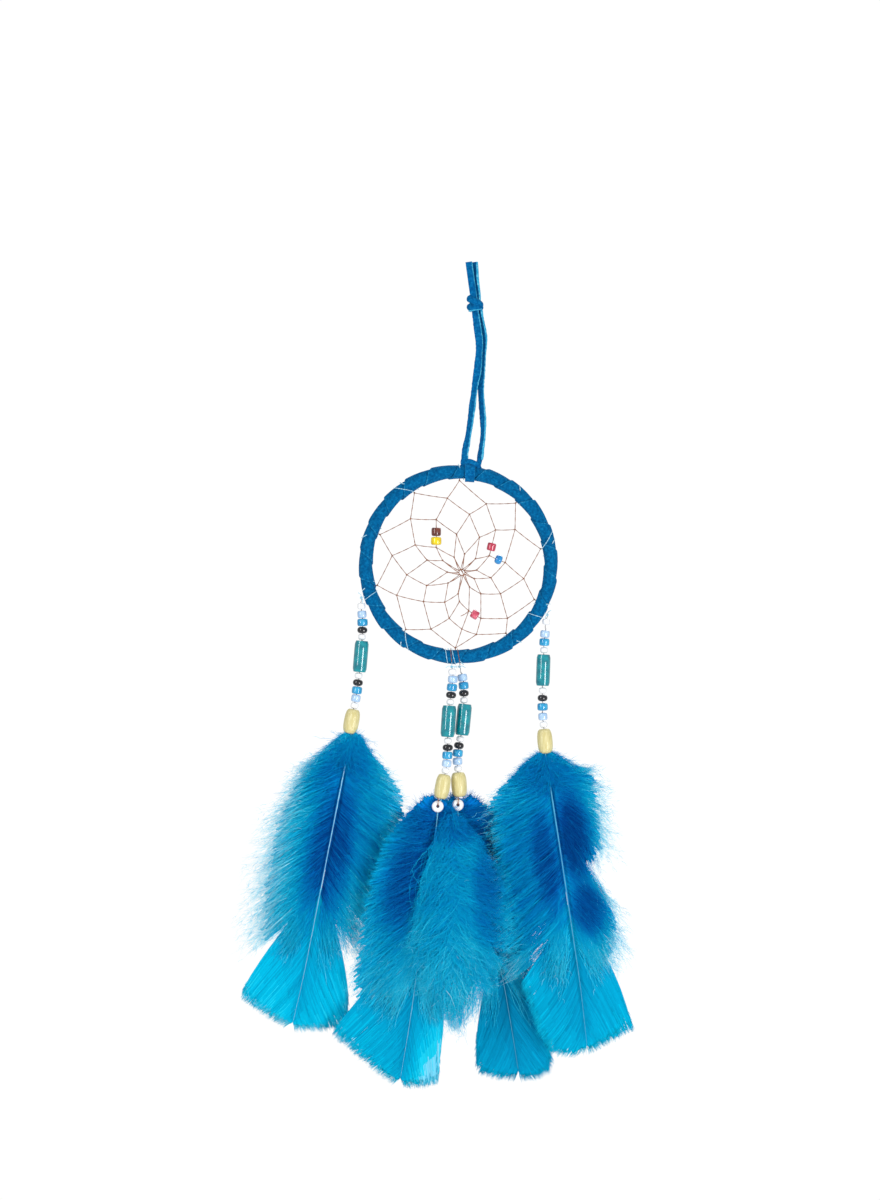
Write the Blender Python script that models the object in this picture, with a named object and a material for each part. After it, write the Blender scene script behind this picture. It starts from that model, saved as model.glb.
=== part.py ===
"""Dream catcher on a suede loop: a wrapped hoop with a beaded web, four bead strings and four feathers.

It hangs upright in the XZ plane and faces -Y. The origin is where a peg holds it, inside the lace loop
just under the knot. Lengths below are in millimetres; MM turns them into Blender's metres.
"""

import math

import bmesh
import bpy
from mathutils import Vector

MM = 0.001
GAP = 0.3                      # clearance between pieces that touch

# hoop: a ring wound with a suede strip
HOOP_CENTRE = Vector((-10.2, 0.0, -112.5))
HOOP_OUTER = 44.5              # outer radius over the wrap
TUBE_RADIUS = 3.05             # half the thickness of the wrapped rim
WRAP_THICKNESS = 0.9
WRAP_TURNS = 22
WRAP_SEAM = 0.12               # part of a turn left open between two windings
HOOP_RADIUS = HOOP_OUTER - TUBE_RADIUS
CORE_RADIUS = TUBE_RADIUS - WRAP_THICKNESS - GAP
HOOP_STEPS = 40                # sections round the ring
TUBE_SIDES = 8                 # sides of the rim, and steps in one winding of the strip
WRAP_START = 12                # where the strip starts, degrees past the lace

# lace: a flat suede strip
LACE_WIDTH = 3.4
LACE_THICKNESS = 1.3
HITCH_ANGLE = 82.8             # where the lace holds the hoop, degrees round from +X
HITCH_WIDTH = 4.2
HITCH_SIDES = 16

# web
THREAD_WIDTH = 0.5
ANCHOR_ANGLES = (-92.0, 231.2, 194.5, 159.2, 121.6, 89.2, 46.9, 10.6, -24.9, -55.4)
ANCHOR_RADIUS = HOOP_RADIUS - TUBE_RADIUS - 0.35
WEB_ROUND_1 = ((-12.3, -29.0), (-27.6, -13.9), (-29.6, 3.9), (-21.4, 20.4), (-4.9, 29.6),
               (12.5, 27.1), (25.4, 15.6), (29.3, -6.4), (22.0, -24.2), (8.1, -31.4))
WEB_ROUND_2 = ((-15.6, -16.7), (-23.1, -4.7), (-19.3, 8.7), (-9.9, 20.0), (5.0, 22.4),
               (16.7, 15.4), (21.0, 0.8), (18.9, -13.2), (10.1, -24.2), (1.6, -29.0))
WEB_ROUND_3 = ((-14.2, -9.5), (-14.0, 1.9), (-9.9, 7.6), (-0.8, 13.5), (9.5, 12.1),
               (13.9, 3.9), (14.6, -6.0), (10.1, -13.2), (4.7, -20.8))
WEB_ROUND_4 = ((-4.9, -3.5), (-7.0, 1.7), (-1.9, 3.2), (2.8, 4.6), (7.7, 2.5),
               (8.2, -2.6), (7.1, -6.4), (5.0, -10.1))
WEB_LOW = ((-4.1, -24.2), (-6.1, -17.0), (0.5, -16.7), (-0.1, -13.2), (-4.6, -8.4))
WEB_EYE = (1.6, -3.6)
WEB_EYE_RADIUS = 2.0
WEB_EYE_START = 222            # direction of the eye's first corner, degrees
WEB_BEAD_HOLE = 1.6

# the beads on the web: the two knots whose thread each is on, how far along it, diameter, height, colour
WEB_BEADS = {
    "web_bead_brown": (("c", 3), ("d", 2), 0.44, 4.3, 3.8, (0.13, 0.035, 0.02)),
    "web_bead_yellow": (("c", 3), ("d", 2), 0.77, 4.7, 3.6, (0.85, 0.62, 0.01)),
    "web_bead_red": (("c", 5), ("d", 5), 0.66, 4.0, 3.6, (0.45, 0.02, 0.05)),
    "web_bead_blue": (("c", 6), ("d", 5), 0.42, 4.2, 3.2, (0.01, 0.22, 0.62)),
    "web_bead_pink": (("c", 8), ("d", 8), 0.5, 4.0, 3.4, (0.55, 0.06, 0.10)),
}

# string beads: outer diameter, height, hole diameter, share of the wall that an end's flat takes,
# roughness, colour
BEADS = {
    "white_bead": (3.4, 2.7, 1.5, 0.7, 0.2, (0.88, 0.87, 0.84)),
    "pale_bead": (4.2, 3.3, 1.5, 0.7, 0.2, (0.38, 0.58, 0.86)),
    "blue_bead": (4.7, 3.4, 1.5, 0.7, 0.2, (0.01, 0.26, 0.58)),
    "black_bead": (4.5, 2.9, 1.5, 0.7, 0.2, (0.01, 0.01, 0.012)),
    "tube_bead": (6.4, 14.1, 2.2, 0.9, 0.2, (0.0, 0.27, 0.27)),
    "wood_bead": (7.0, 11.0, 3.2, 0.55, 0.55, (0.66, 0.55, 0.25)),
    "quill_bead": (5.3, 2.7, 1.7, 0.6, 0.25, (0.88, 0.87, 0.84)),
}
BEAD_SIDES = 10
SPACER_DIAMETER = 3.4
THREAD_RADIUS = 0.3
THREAD_IN_WOOD = 1.2           # how far the thread runs into the wood bead
QUILL_IN_WOOD = 4.5            # how far the feather's quill runs up into it
RING_DROP = 1.0                # from the wood bead down to the ring bead in front of a middle feather's quill

# bead order down a string; a spacer is part of the thread's node
STRING = ("knot", "white_bead", "pale_bead", "blue_bead", "black_bead", "spacer", "tube_bead", "spacer",
          "black_bead_low", "blue_bead_low", "pale_bead_low", "spacer", "wood_bead")
KNOT_DIAMETER = 1.3

# each string: depth, places that its thread passes, beads it lacks, extra thread above a bead
STRINGS = {
    "left": {
        "depth": 0.0, "lacks": (),
        "slack": {"white_bead": 1.4, "pale_bead": 0.4},
        "route": ((-53.7, -127.5), (-53.6, -131.2), (-53.1, -139.3), (-53.5, -146.4), (-54.0, -154.5),
                  (-55.3, -166.6), (-56.6, -176.0), (-58.1, -183.2), (-59.4, -189.0)),
    },
    "mid_left": {
        "depth": -2.0, "lacks": (), "slack": {},
        "route": ((-13.2, -158.4), (-12.7, -163.2), (-13.2, -168.8), (-14.6, -182.3), (-14.9, -193.4),
                  (-15.4, -201.5), (-16.8, -209.6), (-18.6, -217.5), (-20.2, -224.0)),
    },
    "mid_right": {
        "depth": 2.0, "lacks": ("white_bead",), "slack": {"pale_bead": 2.4},
        "route": ((-9.6, -158.4), (-8.3, -163.4), (-7.7, -169.7), (-7.9, -182.0), (-9.4, -191.2),
                  (-10.4, -196.6), (-10.5, -203.7), (-9.9, -211.4), (-10.3, -219.0), (-10.8, -224.0)),
    },
    "right": {
        "depth": 0.0, "lacks": ("black_bead",),
        "slack": {"white_bead": 0.9, "pale_bead": 2.2, "tube_bead": 0.5, "black_bead_low": 0.7,
                  "blue_bead_low": 0.5, "pale_bead_low": 0.7, "spacer_low": 0.6},
        "route": ((29.7, -135.1), (29.1, -138.4), (28.4, -146.4), (27.8, -160.5), (27.5, -173.3),
                  (27.8, -183.2), (28.7, -192.6), (29.4, -200.0)),
    },
}

# each feather: depth of its blade, places that its shaft passes, and rows of (height, left edge, right edge)
FEATHER_EDGE = 0.5             # thickness at the blade's edges
FEATHER_MIDDLE = 1.3           # thickness along the shaft
QUILL_DIAMETER = 1.5
QUILL_BEND = 12.0              # height over which a feather leaves its string's plane for its own
FEATHERS = {
    "left": {
        "depth": 2.6,
        "shaft": ((-61.4, -205.1), (-69.4, -245.8), (-78.9, -293.8), (-84.2, -319.3)),
        "rows": ((-193.4, -63.4, -53.5), (-198.8, -73.0, -48.8), (-204.6, -81.1, -43.9),
                 (-218.1, -88.7, -39.0), (-231.5, -94.9, -40.3), (-247.2, -98.1, -43.0),
                 (-276.3, -100.3, -49.7), (-287.5, -100.3, -58.7), (-298.7, -103.9, -62.7),
                 (-307.6, -107.9, -59.6), (-313.9, -97.2, -60.0), (-319.3, -86.0, -60.9)),
    },
    "mid_left": {
        "depth": -5.6,
        "shaft": ((-21.5, -244.9), (-25.1, -276.3), (-30.5, -307.6), (-36.3, -345.3)),
        "rows": ((-228.0, -27.3, -12.5), (-233.5, -36.0, -5.0), (-240.5, -39.0, 4.0),
                 (-253.9, -41.6, 8.1), (-267.3, -44.3, 8.5), (-280.8, -48.8, 6.3),
                 (-292.0, -54.2, 2.7), (-303.2, -59.6, -5.8), (-313.0, -63.1, -15.7),
                 (-323.3, -67.2, -19.7), (-334.5, -53.3, -19.3), (-345.3, -40.0, -19.3)),
    },
    "mid_right": {
        "depth": 5.6,
        "shaft": ((-8.5, -234.0), (-0.4, -262.9), (8.5, -293.3), (13.0, -316.6), (17.0, -341.2)),
        "rows": ((-228.0, -16.0, -2.0), (-233.0, -16.6, 9.0), (-244.9, -17.5, 15.7),
                 (-262.9, -15.2, 18.4), (-280.8, -11.2, 21.0), (-294.2, -4.9, 23.7),
                 (-308.1, 3.1, 27.3), (-322.4, -0.9, 30.0), (-336.7, -2.2, 31.8),
                 (-341.2, 1.8, 31.3)),
    },
    "right": {
        "depth": -2.6,
        "shaft": ((31.3, -214.0), (35.4, -240.5), (40.7, -276.3), (44.3, -300.9), (48.3, -328.5)),
        "rows": ((-203.0, 22.5, 38.5), (-206.5, 15.2, 49.7), (-213.6, 9.9, 54.2),
                 (-227.0, 7.6, 55.1), (-240.5, 9.9, 56.0), (-253.9, 13.0, 53.3), (-265.1, 15.2, 60.5),
                 (-274.1, 17.5, 66.7), (-285.2, 20.2, 60.9), (-296.4, 22.8, 56.9),
                 (-307.6, 26.9, 59.1), (-321.5, 29.6, 68.5), (-330.5, 31.8, 58.0)),
    },
}


def clear_scene():
    for obj in list(bpy.data.objects):
        bpy.data.objects.remove(obj, do_unlink=True)


def material(name, colour, roughness, metallic=0.0):
    mat = bpy.data.materials.get(name)
    if mat is None:
        mat = bpy.data.materials.new(name)
        mat.use_nodes = True
        shader = mat.node_tree.nodes["Principled BSDF"]
        shader.inputs["Base Color"].default_value = (*colour, 1.0)
        shader.inputs["Roughness"].default_value = roughness
        shader.inputs["Metallic"].default_value = metallic
    return mat


def pivot(name, place, parent=None):
    """An empty on a joint's axis; what moves with the joint is its child."""
    empty = bpy.data.objects.new(name, None)
    bpy.context.collection.objects.link(empty)
    empty["place"] = tuple(place)
    empty.parent = parent
    base = Vector(parent["place"]) if parent else Vector()
    empty.location = (Vector(place) - base) * MM
    return empty


def add(name, bm, mat, body=None, place=(0, 0, 0), turn=None):
    """Link a mesh in millimetres as an object that its joint's empty carries."""
    bmesh.ops.recalc_face_normals(bm, faces=bm.faces)
    bmesh.ops.scale(bm, vec=(MM, MM, MM), verts=bm.verts)
    mesh = bpy.data.meshes.new(name)
    bm.to_mesh(mesh)
    bm.free()
    mesh.shade_smooth()
    mesh.set_sharp_from_angle(angle=math.radians(40))
    mesh.materials.append(mat)
    obj = bpy.data.objects.new(name, mesh)
    bpy.context.collection.objects.link(obj)
    base = Vector(body["place"]) if body else Vector()
    obj.parent = body
    obj.location = (Vector(place) - base) * MM
    if turn is not None:
        obj.rotation_euler = turn.to_euler()
    return obj


def smooth_route(points, depth=0.0, steps=12):
    """A Catmull-Rom curve through (x, z) points, as a list of vectors."""
    pts = [Vector((x, depth, z)) for x, z in points]
    pts = [pts[0] * 2 - pts[1]] + pts + [pts[-1] * 2 - pts[-2]]
    curve = []
    for a, b, c, d in zip(pts, pts[1:], pts[2:], pts[3:]):
        for k in range(steps):
            t = k / steps
            curve.append(0.5 * (2 * b + (c - a) * t + (2 * a - 5 * b + 4 * c - d) * t ** 2
                                + (3 * b - a - 3 * c + d) * t ** 3))
    curve.append(pts[-2])
    return curve


def along(curve, distance):
    """The point at a distance along a curve, and the direction there."""
    for a, b in zip(curve, curve[1:]):
        step = (b - a).length
        if distance <= step or b is curve[-1]:
            return a + (b - a) * (distance / step), (b - a).normalized()
        distance -= step


def loft(sections, closed_path=False):
    """Skin rings of equally many points, with flat ends unless the path is closed."""
    bm = bmesh.new()
    rings = [[bm.verts.new(p) for p in ring] for ring in sections]
    pairs = list(zip(rings, rings[1:]))
    if closed_path:
        pairs.append((rings[-1], rings[0]))
    for one, two in pairs:
        for k in range(len(one)):
            n = (k + 1) % len(one)
            bm.faces.new((one[k], one[n], two[n], two[k]))
    if not closed_path:
        bm.faces.new(rings[0])
        bm.faces.new(rings[-1])
    return bm


def round_section(centre, direction, radius, sides=8):
    across = Vector((0, 1, 0))
    side = across.cross(direction).normalized()
    ring = []
    for k in range(sides):
        angle = 2 * math.pi * k / sides
        ring.append(centre + radius * (math.cos(angle) * side + math.sin(angle) * across))
    return ring


def flat_section(centre, direction, width, thickness):
    across = Vector((0, 1, 0))
    side = across.cross(direction).normalized()
    w, t = side * width / 2, across * thickness / 2
    return [centre + w + t, centre - w + t, centre - w - t, centre + w - t]


def turned_ring(diameter, height, hole, flat_share=0.72):
    """A bead: a closed profile spun round Z, with its hole along Z and a flat round each end of the hole."""
    r, h, inner = diameter / 2, height / 2, hole / 2
    end = inner + (r - inner) * flat_share
    waist = h * 0.45
    profile = [(inner, -h), (end, -h), (r, -waist), (r, waist), (end, h), (inner, h)]
    sections = []
    for k in range(BEAD_SIDES):
        angle = 2 * math.pi * k / BEAD_SIDES
        sections.append([Vector((x * math.cos(angle), x * math.sin(angle), z)) for x, z in profile])
    return loft(sections, closed_path=True)


def to_axis(direction):
    """The rotation that takes +Z to a direction."""
    return Vector((0, 0, 1)).rotation_difference(direction)


def on_hoop(angle_degrees, radius):
    angle = math.radians(angle_degrees)
    return HOOP_CENTRE + radius * Vector((math.cos(angle), 0, math.sin(angle)))


def tube_point(round_angle, tube_angle, tube_radius):
    """A point on the hoop's rim: tube_angle 0 faces outward, 90 degrees faces the front."""
    outward = Vector((math.cos(round_angle), 0, math.sin(round_angle)))
    centre = HOOP_CENTRE + HOOP_RADIUS * outward
    return centre + tube_radius * (math.cos(tube_angle) * outward + math.sin(tube_angle) * Vector((0, -1, 0)))


def make_hoop(body):
    core = []
    for k in range(HOOP_STEPS):
        turn = 2 * math.pi * k / HOOP_STEPS
        core.append([tube_point(turn, 2 * math.pi * s / TUBE_SIDES, CORE_RADIUS) for s in range(TUBE_SIDES)])
    add("hoop_ring", loft(core, closed_path=True), material("ring wire", (0.35, 0.33, 0.30), 0.4, 0.6), body)

    # one long strip wound round the ring, each turn ending just short of the next
    total = WRAP_TURNS * TUBE_SIDES
    start = math.radians(HITCH_ANGLE + WRAP_START)
    pitch = 2 * math.pi / WRAP_TURNS
    width = pitch * (1 - WRAP_SEAM)
    travel = 2 * math.pi - pitch
    inner, outer = CORE_RADIUS + GAP, TUBE_RADIUS
    sections = []
    for k in range(total):
        share = k / (total - 1)
        round_angle = start + travel * share
        tube_angle = 2 * math.pi * k / TUBE_SIDES
        edges = [round_angle - width / 2, round_angle, round_angle + width / 2]
        low = [tube_point(a, tube_angle, inner) for a in edges]
        high = [tube_point(a, tube_angle, outer) for a in reversed(edges)]
        sections.append(low + high)
    add("hoop_wrap", loft(sections), material("blue suede", (0.0, 0.11, 0.40), 0.9), body)


def make_web(body):
    bm = bmesh.new()
    corner = {}

    def spot(name, x, z):
        corner[name] = bm.verts.new(HOOP_CENTRE + Vector((x, 0, z)))

    for i, angle in enumerate(ANCHOR_ANGLES):
        place = on_hoop(angle, ANCHOR_RADIUS) - HOOP_CENTRE
        spot(("a", i), place.x, place.z)
    for key, points in (("b", WEB_ROUND_1), ("c", WEB_ROUND_2), ("d", WEB_ROUND_3), ("e", WEB_ROUND_4),
                        ("low", WEB_LOW)):
        for i, (x, z) in enumerate(points):
            spot((key, i), x, z)
    eye_count = len(WEB_ROUND_4) + 2
    for i in range(eye_count):
        angle = math.radians(WEB_EYE_START - 360 * i / eye_count)
        spot(("eye", i), WEB_EYE[0] + WEB_EYE_RADIUS * math.cos(angle),
             WEB_EYE[1] + WEB_EYE_RADIUS * math.sin(angle))

    cells = [[("a", 0), ("b", 9), ("c", 9)], [("a", 0), ("c", 9), ("low", 0), ("b", 0)]]
    cells += [[("a", i), ("b", i - 1), ("c", i - 1), ("b", i)] for i in range(1, 10)]
    cells += [[("b", i + 1), ("c", i), ("d", i), ("c", i + 1)] for i in range(9)]
    cells += [[("b", 0), ("low", 0), ("low", 1), ("c", 0)], [("c", 9), ("d", 8), ("low", 2), ("low", 0)],
              [("c", 0), ("low", 1), ("low", 4), ("d", 0)], [("low", 0), ("low", 2), ("low", 3), ("low", 1)]]
    cells += [[("c", i + 1), ("d", i), ("e", i), ("d", i + 1)] for i in range(8)]
    cells += [[("d", 0), ("low", 4), ("eye", 0), ("e", 0)]]
    cells += [[("d", i), ("e", i - 1), ("eye", i), ("e", i)] for i in range(1, 8)]
    cells += [[("d", 8), ("e", 7), ("eye", 8), ("low", 3), ("low", 2)],
              [("low", 1), ("low", 3), ("eye", 9), ("low", 4)]]
    last = eye_count - 1
    cells += [[("e", i), ("eye", i), ("eye", i + 1)] for i in range(8)]
    cells += [[("low", 3), ("eye", 8), ("eye", 9)], [("low", 4), ("eye", last), ("eye", 0)]]
    faces = [bm.faces.new([corner[c] for c in cell]) for cell in cells]
    places = {name: vert.co.copy() for name, vert in corner.items()}
    bmesh.ops.recalc_face_normals(bm, faces=bm.faces)
    bmesh.ops.inset_individual(bm, faces=faces, thickness=THREAD_WIDTH / 2, use_even_offset=True)
    bmesh.ops.delete(bm, geom=faces, context="FACES")
    bmesh.ops.translate(bm, vec=(0, -THREAD_WIDTH / 2, 0), verts=bm.verts)
    sheet = bm.faces[:]
    moved = bmesh.ops.extrude_face_region(bm, geom=sheet, use_keep_orig=True)["geom"]
    back = [piece for piece in moved if isinstance(piece, bmesh.types.BMVert)]
    bmesh.ops.translate(bm, vec=(0, THREAD_WIDTH, 0), verts=back)
    add("web_thread", bm, material("waxed thread", (0.28, 0.14, 0.07), 0.6), body)

    for name, (near, far, share, diameter, height, colour) in WEB_BEADS.items():
        span = places[far] - places[near]
        glass = material(name.replace("_", " "), colour, 0.25)
        add(name, turned_ring(diameter, height, WEB_BEAD_HOLE), glass, body, places[near] + span * share,
            to_axis(span.normalized()))


def make_lace(root, hitch):
    suede = material("blue suede", (0.0, 0.11, 0.40), 0.9)
    routes = {
        "lace_strand_left": (-0.85, ((-1.3, -1.0), (-1.5, -7.6), (-0.8, -14.3), (-1.6, -25.5), (-2.7, -32.2),
                                     (-4.0, -42.5), (-5.0, -50.2), (-6.1, -56.9), (-7.1, -62.0),
                                     (-7.3, -65.6))),
        "lace_strand_right": (0.85, ((0.4, -1.0), (1.2, -9.9), (1.1, -16.6), (0.4, -25.5), (-0.1, -32.2),
                                     (0.2, -39.0), (0.9, -47.9), (0.9, -54.6), (0.1, -61.3),
                                     (-0.5, -65.6))),
    }
    for name, (depth, points) in routes.items():
        curve = smooth_route(points, depth, steps=1)
        spans = zip(curve, curve[1:] + curve[-1:], curve[:1] + curve)
        sections = [flat_section(p, (after - before).normalized(), LACE_WIDTH, LACE_THICKNESS)
                    for p, after, before in spans]
        add(name, loft(sections), suede, root)

    knot_shape = ((-0.3, 3.6, 3.0), (1.0, 5.6, 4.6), (2.4, 8.2, 6.0), (5.4, 8.4, 6.0), (7.2, 6.4, 4.6),
                  (8.4, 5.2, 2.8))
    sections = []
    for z, width, depth in knot_shape:
        centre = Vector((-2.4 if z > 2 else -0.9, 0, z))
        sections.append([centre + Vector((width / 2 * math.cos(a), depth / 2 * math.sin(a), 0))
                         for a in (2 * math.pi * k / 10 for k in range(10))])
    knot = add("hang_knot", loft(sections), suede, root)
    tails = {"tail_left": (((-3.6, 6.0), (-4.0, 14.0), (-5.1, 23.1)), -0.9, LACE_WIDTH),
             "tail_right": (((-2.0, 6.0), (-2.1, 14.0), (-2.5, 22.8)), 0.7, 2.4)}
    for name, (points, depth, width) in tails.items():
        curve = smooth_route(points, depth, steps=3)
        sections = [flat_section(p, Vector((0, 0, 1)), width, LACE_THICKNESS) for p in curve]
        tail = add(name, loft(sections), suede, root)
        tail.hide_render = True
        tail.display_type = "WIRE"
        join = knot.modifiers.new(name, "BOOLEAN")
        join.operation = "UNION"
        join.solver = "EXACT"
        join.object = tail

    # the loop's bight, a band round the rim that the hoop rocks in
    angle = math.radians(HITCH_ANGLE)
    tangent = Vector((math.sin(angle), 0, -math.cos(angle)))
    inner = TUBE_RADIUS + 0.4
    sections = []
    for k in range(HITCH_SIDES):
        a = 2 * math.pi * k / HITCH_SIDES
        out = math.cos(a) * Vector((0, 1, 0)) + math.sin(a) * tangent.cross(Vector((0, 1, 0)))
        sections.append([out * r + tangent * s for r, s in (
            (inner, -HITCH_WIDTH / 2), (inner, HITCH_WIDTH / 2),
            (inner + LACE_THICKNESS, HITCH_WIDTH / 2), (inner + LACE_THICKNESS, -HITCH_WIDTH / 2))])
    add("lace_hitch", loft(sections, closed_path=True), suede, hitch, on_hoop(HITCH_ANGLE, HOOP_RADIUS))


def bead_stations(string):
    """How far along the thread each piece sits: they hang one under the other, with any extra thread."""
    heights = {name: size[1] for name, size in BEADS.items()}
    heights.update(spacer=BEADS["white_bead"][1], knot=KNOT_DIAMETER)
    stations, bottom, spacers = {}, -KNOT_DIAMETER / 2 - GAP, 0
    for name in STRING:
        if name in string["lacks"]:
            continue
        label = name
        if name == "spacer":
            label = ("spacer", "spacer_mid", "spacer_low")[spacers]
            spacers += 1
        height = heights[name.removesuffix("_low")]
        top = bottom + GAP + string["slack"].get(label, 0)
        stations[label] = top + height / 2
        bottom = top + height
    return stations


def make_thread(name, curve, stations, body):
    """The thread with its white spacer beads, from under the knot to inside the wood bead."""
    places = [(KNOT_DIAMETER / 2 + GAP, THREAD_RADIUS)]
    half = BEADS["white_bead"][1] / 2
    wide = SPACER_DIAMETER / 2
    end = stations["wood_bead"] - BEADS["wood_bead"][1] / 2 + THREAD_IN_WOOD
    for label in ("spacer", "spacer_mid", "spacer_low"):
        middle = stations[label]
        places += [(middle - half, THREAD_RADIUS), (middle - half * 0.5, wide),
                   (middle + half * 0.5, wide), (middle + half, THREAD_RADIUS)]
    marks = [4.0, 8.0] + [stations["tube_bead"] + d for d in (-3.5, 0.0, 3.5)]
    marks += [stations["black_bead_low"], stations["pale_bead_low"]]
    taken = [d for d, _ in places]
    places += [(d, THREAD_RADIUS) for d in marks if min(abs(d - t) for t in taken) > 0.5]
    places.append((end, THREAD_RADIUS))
    sections = []
    for distance, radius in sorted(places):
        centre, direction = along(curve, distance)
        sections.append(round_section(centre, direction, radius))
    return add(name, loft(sections), material("white thread", (0.75, 0.73, 0.70), 0.5), body)


def make_feather(name, feather, top, start, body):
    """A thin blade with a quill that runs up into the wood bead."""
    shaft = smooth_route([(start.x, start.z), *feather["shaft"]])
    quill = QUILL_DIAMETER / 2
    rows = feather["rows"]

    def shaft_x(z):
        for a, b in zip(shaft, shaft[1:]):
            if a.z >= z >= b.z:
                return a.x + (b.x - a.x) * (a.z - z) / (a.z - b.z)
        return shaft[-1].x

    def section(z, left, right, depth, edge, middle):
        x = shaft_x(z)
        return [Vector((left, depth - edge / 2, z)), Vector((x, depth - middle / 2, z)),
                Vector((right, depth - edge / 2, z)), Vector((right, depth + edge / 2, z)),
                Vector((x, depth + middle / 2, z)), Vector((left, depth + edge / 2, z))]

    sections = [[top + Vector((x, y, 0)) for x, y in
                 ((-quill, -quill / 2), (0, -quill), (quill, -quill / 2),
                  (quill, quill / 2), (0, quill), (-quill, quill / 2))]]
    first = rows[0][0]
    neck = (start.z + first) / 2 + 1.0
    centre = shaft_x(neck)
    sections.append(section(neck, centre - quill, centre + quill, start.y, quill, 2 * quill))
    for z, left, right in rows:
        share = min(1.0, (first - z) / QUILL_BEND + 0.35)
        share = share * share * (3 - 2 * share)
        depth = start.y + (feather["depth"] - start.y) * share
        sections.append(section(z, left, right, depth, FEATHER_EDGE, FEATHER_MIDDLE))
    add(name, loft(sections), material("blue feather", (0.0, 0.28, 0.62), 0.8), body)


def make_string(name, string, hoop):
    curve = smooth_route(string["route"], string["depth"])
    stations = bead_stations(string)
    knot = pivot(name + "_sway_axis", curve[0], hoop)
    beads = pivot(name + "_swing_axis", curve[0], knot)
    knot_mesh = bmesh.new()
    bmesh.ops.create_icosphere(knot_mesh, subdivisions=1, radius=KNOT_DIAMETER / 2)
    add(name + "_tie", knot_mesh, material("white thread", (0.75, 0.73, 0.70), 0.5), knot, curve[0])
    make_thread(name + "_thread", curve, stations, beads)

    wood_top = stations["wood_bead"] - BEADS["wood_bead"][1] / 2
    hang, _ = along(curve, wood_top)
    feather = pivot(name + "_feather_axis", hang, beads)
    for label, distance in stations.items():
        kind = label.removesuffix("_low")
        if kind not in BEADS:
            continue
        centre, direction = along(curve, distance)
        body = beads
        if kind == "tube_bead":
            body = pivot(name + "_spin_axis", centre, beads)
        if kind == "wood_bead":
            body = feather
        part = "top_bead" if label == "white_bead" else label
        add_bead(f"{name}_{part}", kind, body, centre, direction)

    wood_end = stations["wood_bead"] + BEADS["wood_bead"][1] / 2
    quill_top, _ = along(curve, wood_end - QUILL_IN_WOOD)
    start, _ = along(curve, wood_end)
    if name.startswith("mid"):
        diameter, height, _, _, _, _ = BEADS["quill_bead"]
        centre, _ = along(curve, wood_end + RING_DROP + diameter / 2)
        in_front = Vector((0, -QUILL_DIAMETER / 2 - GAP - height / 2, 0))
        start, _ = along(curve, wood_end + RING_DROP + diameter)
        add_bead(name + "_quill_bead", "quill_bead", feather, centre + in_front, Vector((0, -1, 0)))
    make_feather(name + "_feather", FEATHERS[name], quill_top, start, feather)


def add_bead(name, kind, body, centre, direction):
    diameter, height, hole, flat_share, roughness, colour = BEADS[kind]
    finish = material(kind.replace("_", " "), colour, roughness)
    add(name, turned_ring(diameter, height, hole, flat_share), finish, body, centre, to_axis(direction))


def main():
    clear_scene()
    root = pivot("hang_point", (0, 0, 0))
    hitch_place = on_hoop(HITCH_ANGLE, HOOP_RADIUS)
    hitch = pivot("lace_twist_axis", hitch_place, root)
    hoop = pivot("hoop_rock_axis", hitch_place, hitch)
    make_lace(root, hitch)
    make_hoop(hoop)
    make_web(hoop)
    for name, string in STRINGS.items():
        make_string(name, string, hoop)


main()
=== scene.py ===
"""Looks of the dream catcher: suede, thread, beads and feathers, built round the CAD frame."""

import math

import bpy
import numpy as np
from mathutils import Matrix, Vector


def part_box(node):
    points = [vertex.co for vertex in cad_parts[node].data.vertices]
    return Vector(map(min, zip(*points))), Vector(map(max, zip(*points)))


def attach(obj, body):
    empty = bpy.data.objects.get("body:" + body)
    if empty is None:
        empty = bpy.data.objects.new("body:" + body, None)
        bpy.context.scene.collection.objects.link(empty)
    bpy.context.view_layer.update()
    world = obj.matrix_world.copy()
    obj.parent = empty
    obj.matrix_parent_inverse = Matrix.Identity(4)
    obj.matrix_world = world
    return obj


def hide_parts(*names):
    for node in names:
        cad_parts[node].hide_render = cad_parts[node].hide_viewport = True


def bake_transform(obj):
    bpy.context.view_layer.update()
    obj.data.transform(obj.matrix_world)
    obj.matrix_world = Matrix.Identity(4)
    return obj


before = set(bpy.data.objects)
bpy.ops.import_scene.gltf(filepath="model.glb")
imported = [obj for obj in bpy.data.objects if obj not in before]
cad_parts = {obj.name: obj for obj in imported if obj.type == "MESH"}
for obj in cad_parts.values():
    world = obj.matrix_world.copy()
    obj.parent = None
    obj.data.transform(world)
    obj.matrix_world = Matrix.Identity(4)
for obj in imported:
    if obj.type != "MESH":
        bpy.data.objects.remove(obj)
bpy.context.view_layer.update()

MM = 0.001
RNG = np.random.default_rng(7)
SIDES = ("left", "mid_left", "mid_right", "right")


# ---------------------------------------------------------------- colours and materials

def rgb(r, g, b):
    """A screen colour of 0 to 255 as linear RGBA."""
    def linear(c):
        c /= 255
        return c / 12.92 if c <= 0.04045 else ((c + 0.055) / 1.055) ** 2.4
    return (linear(r), linear(g), linear(b), 1.0)


def principled(name, **values):
    mat = bpy.data.materials.new(name)
    mat.use_nodes = True
    shader = mat.node_tree.nodes["Principled BSDF"]
    for key, value in values.items():
        shader.inputs[key.replace("_", " ")].default_value = value
    return mat, mat.node_tree, shader


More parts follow.
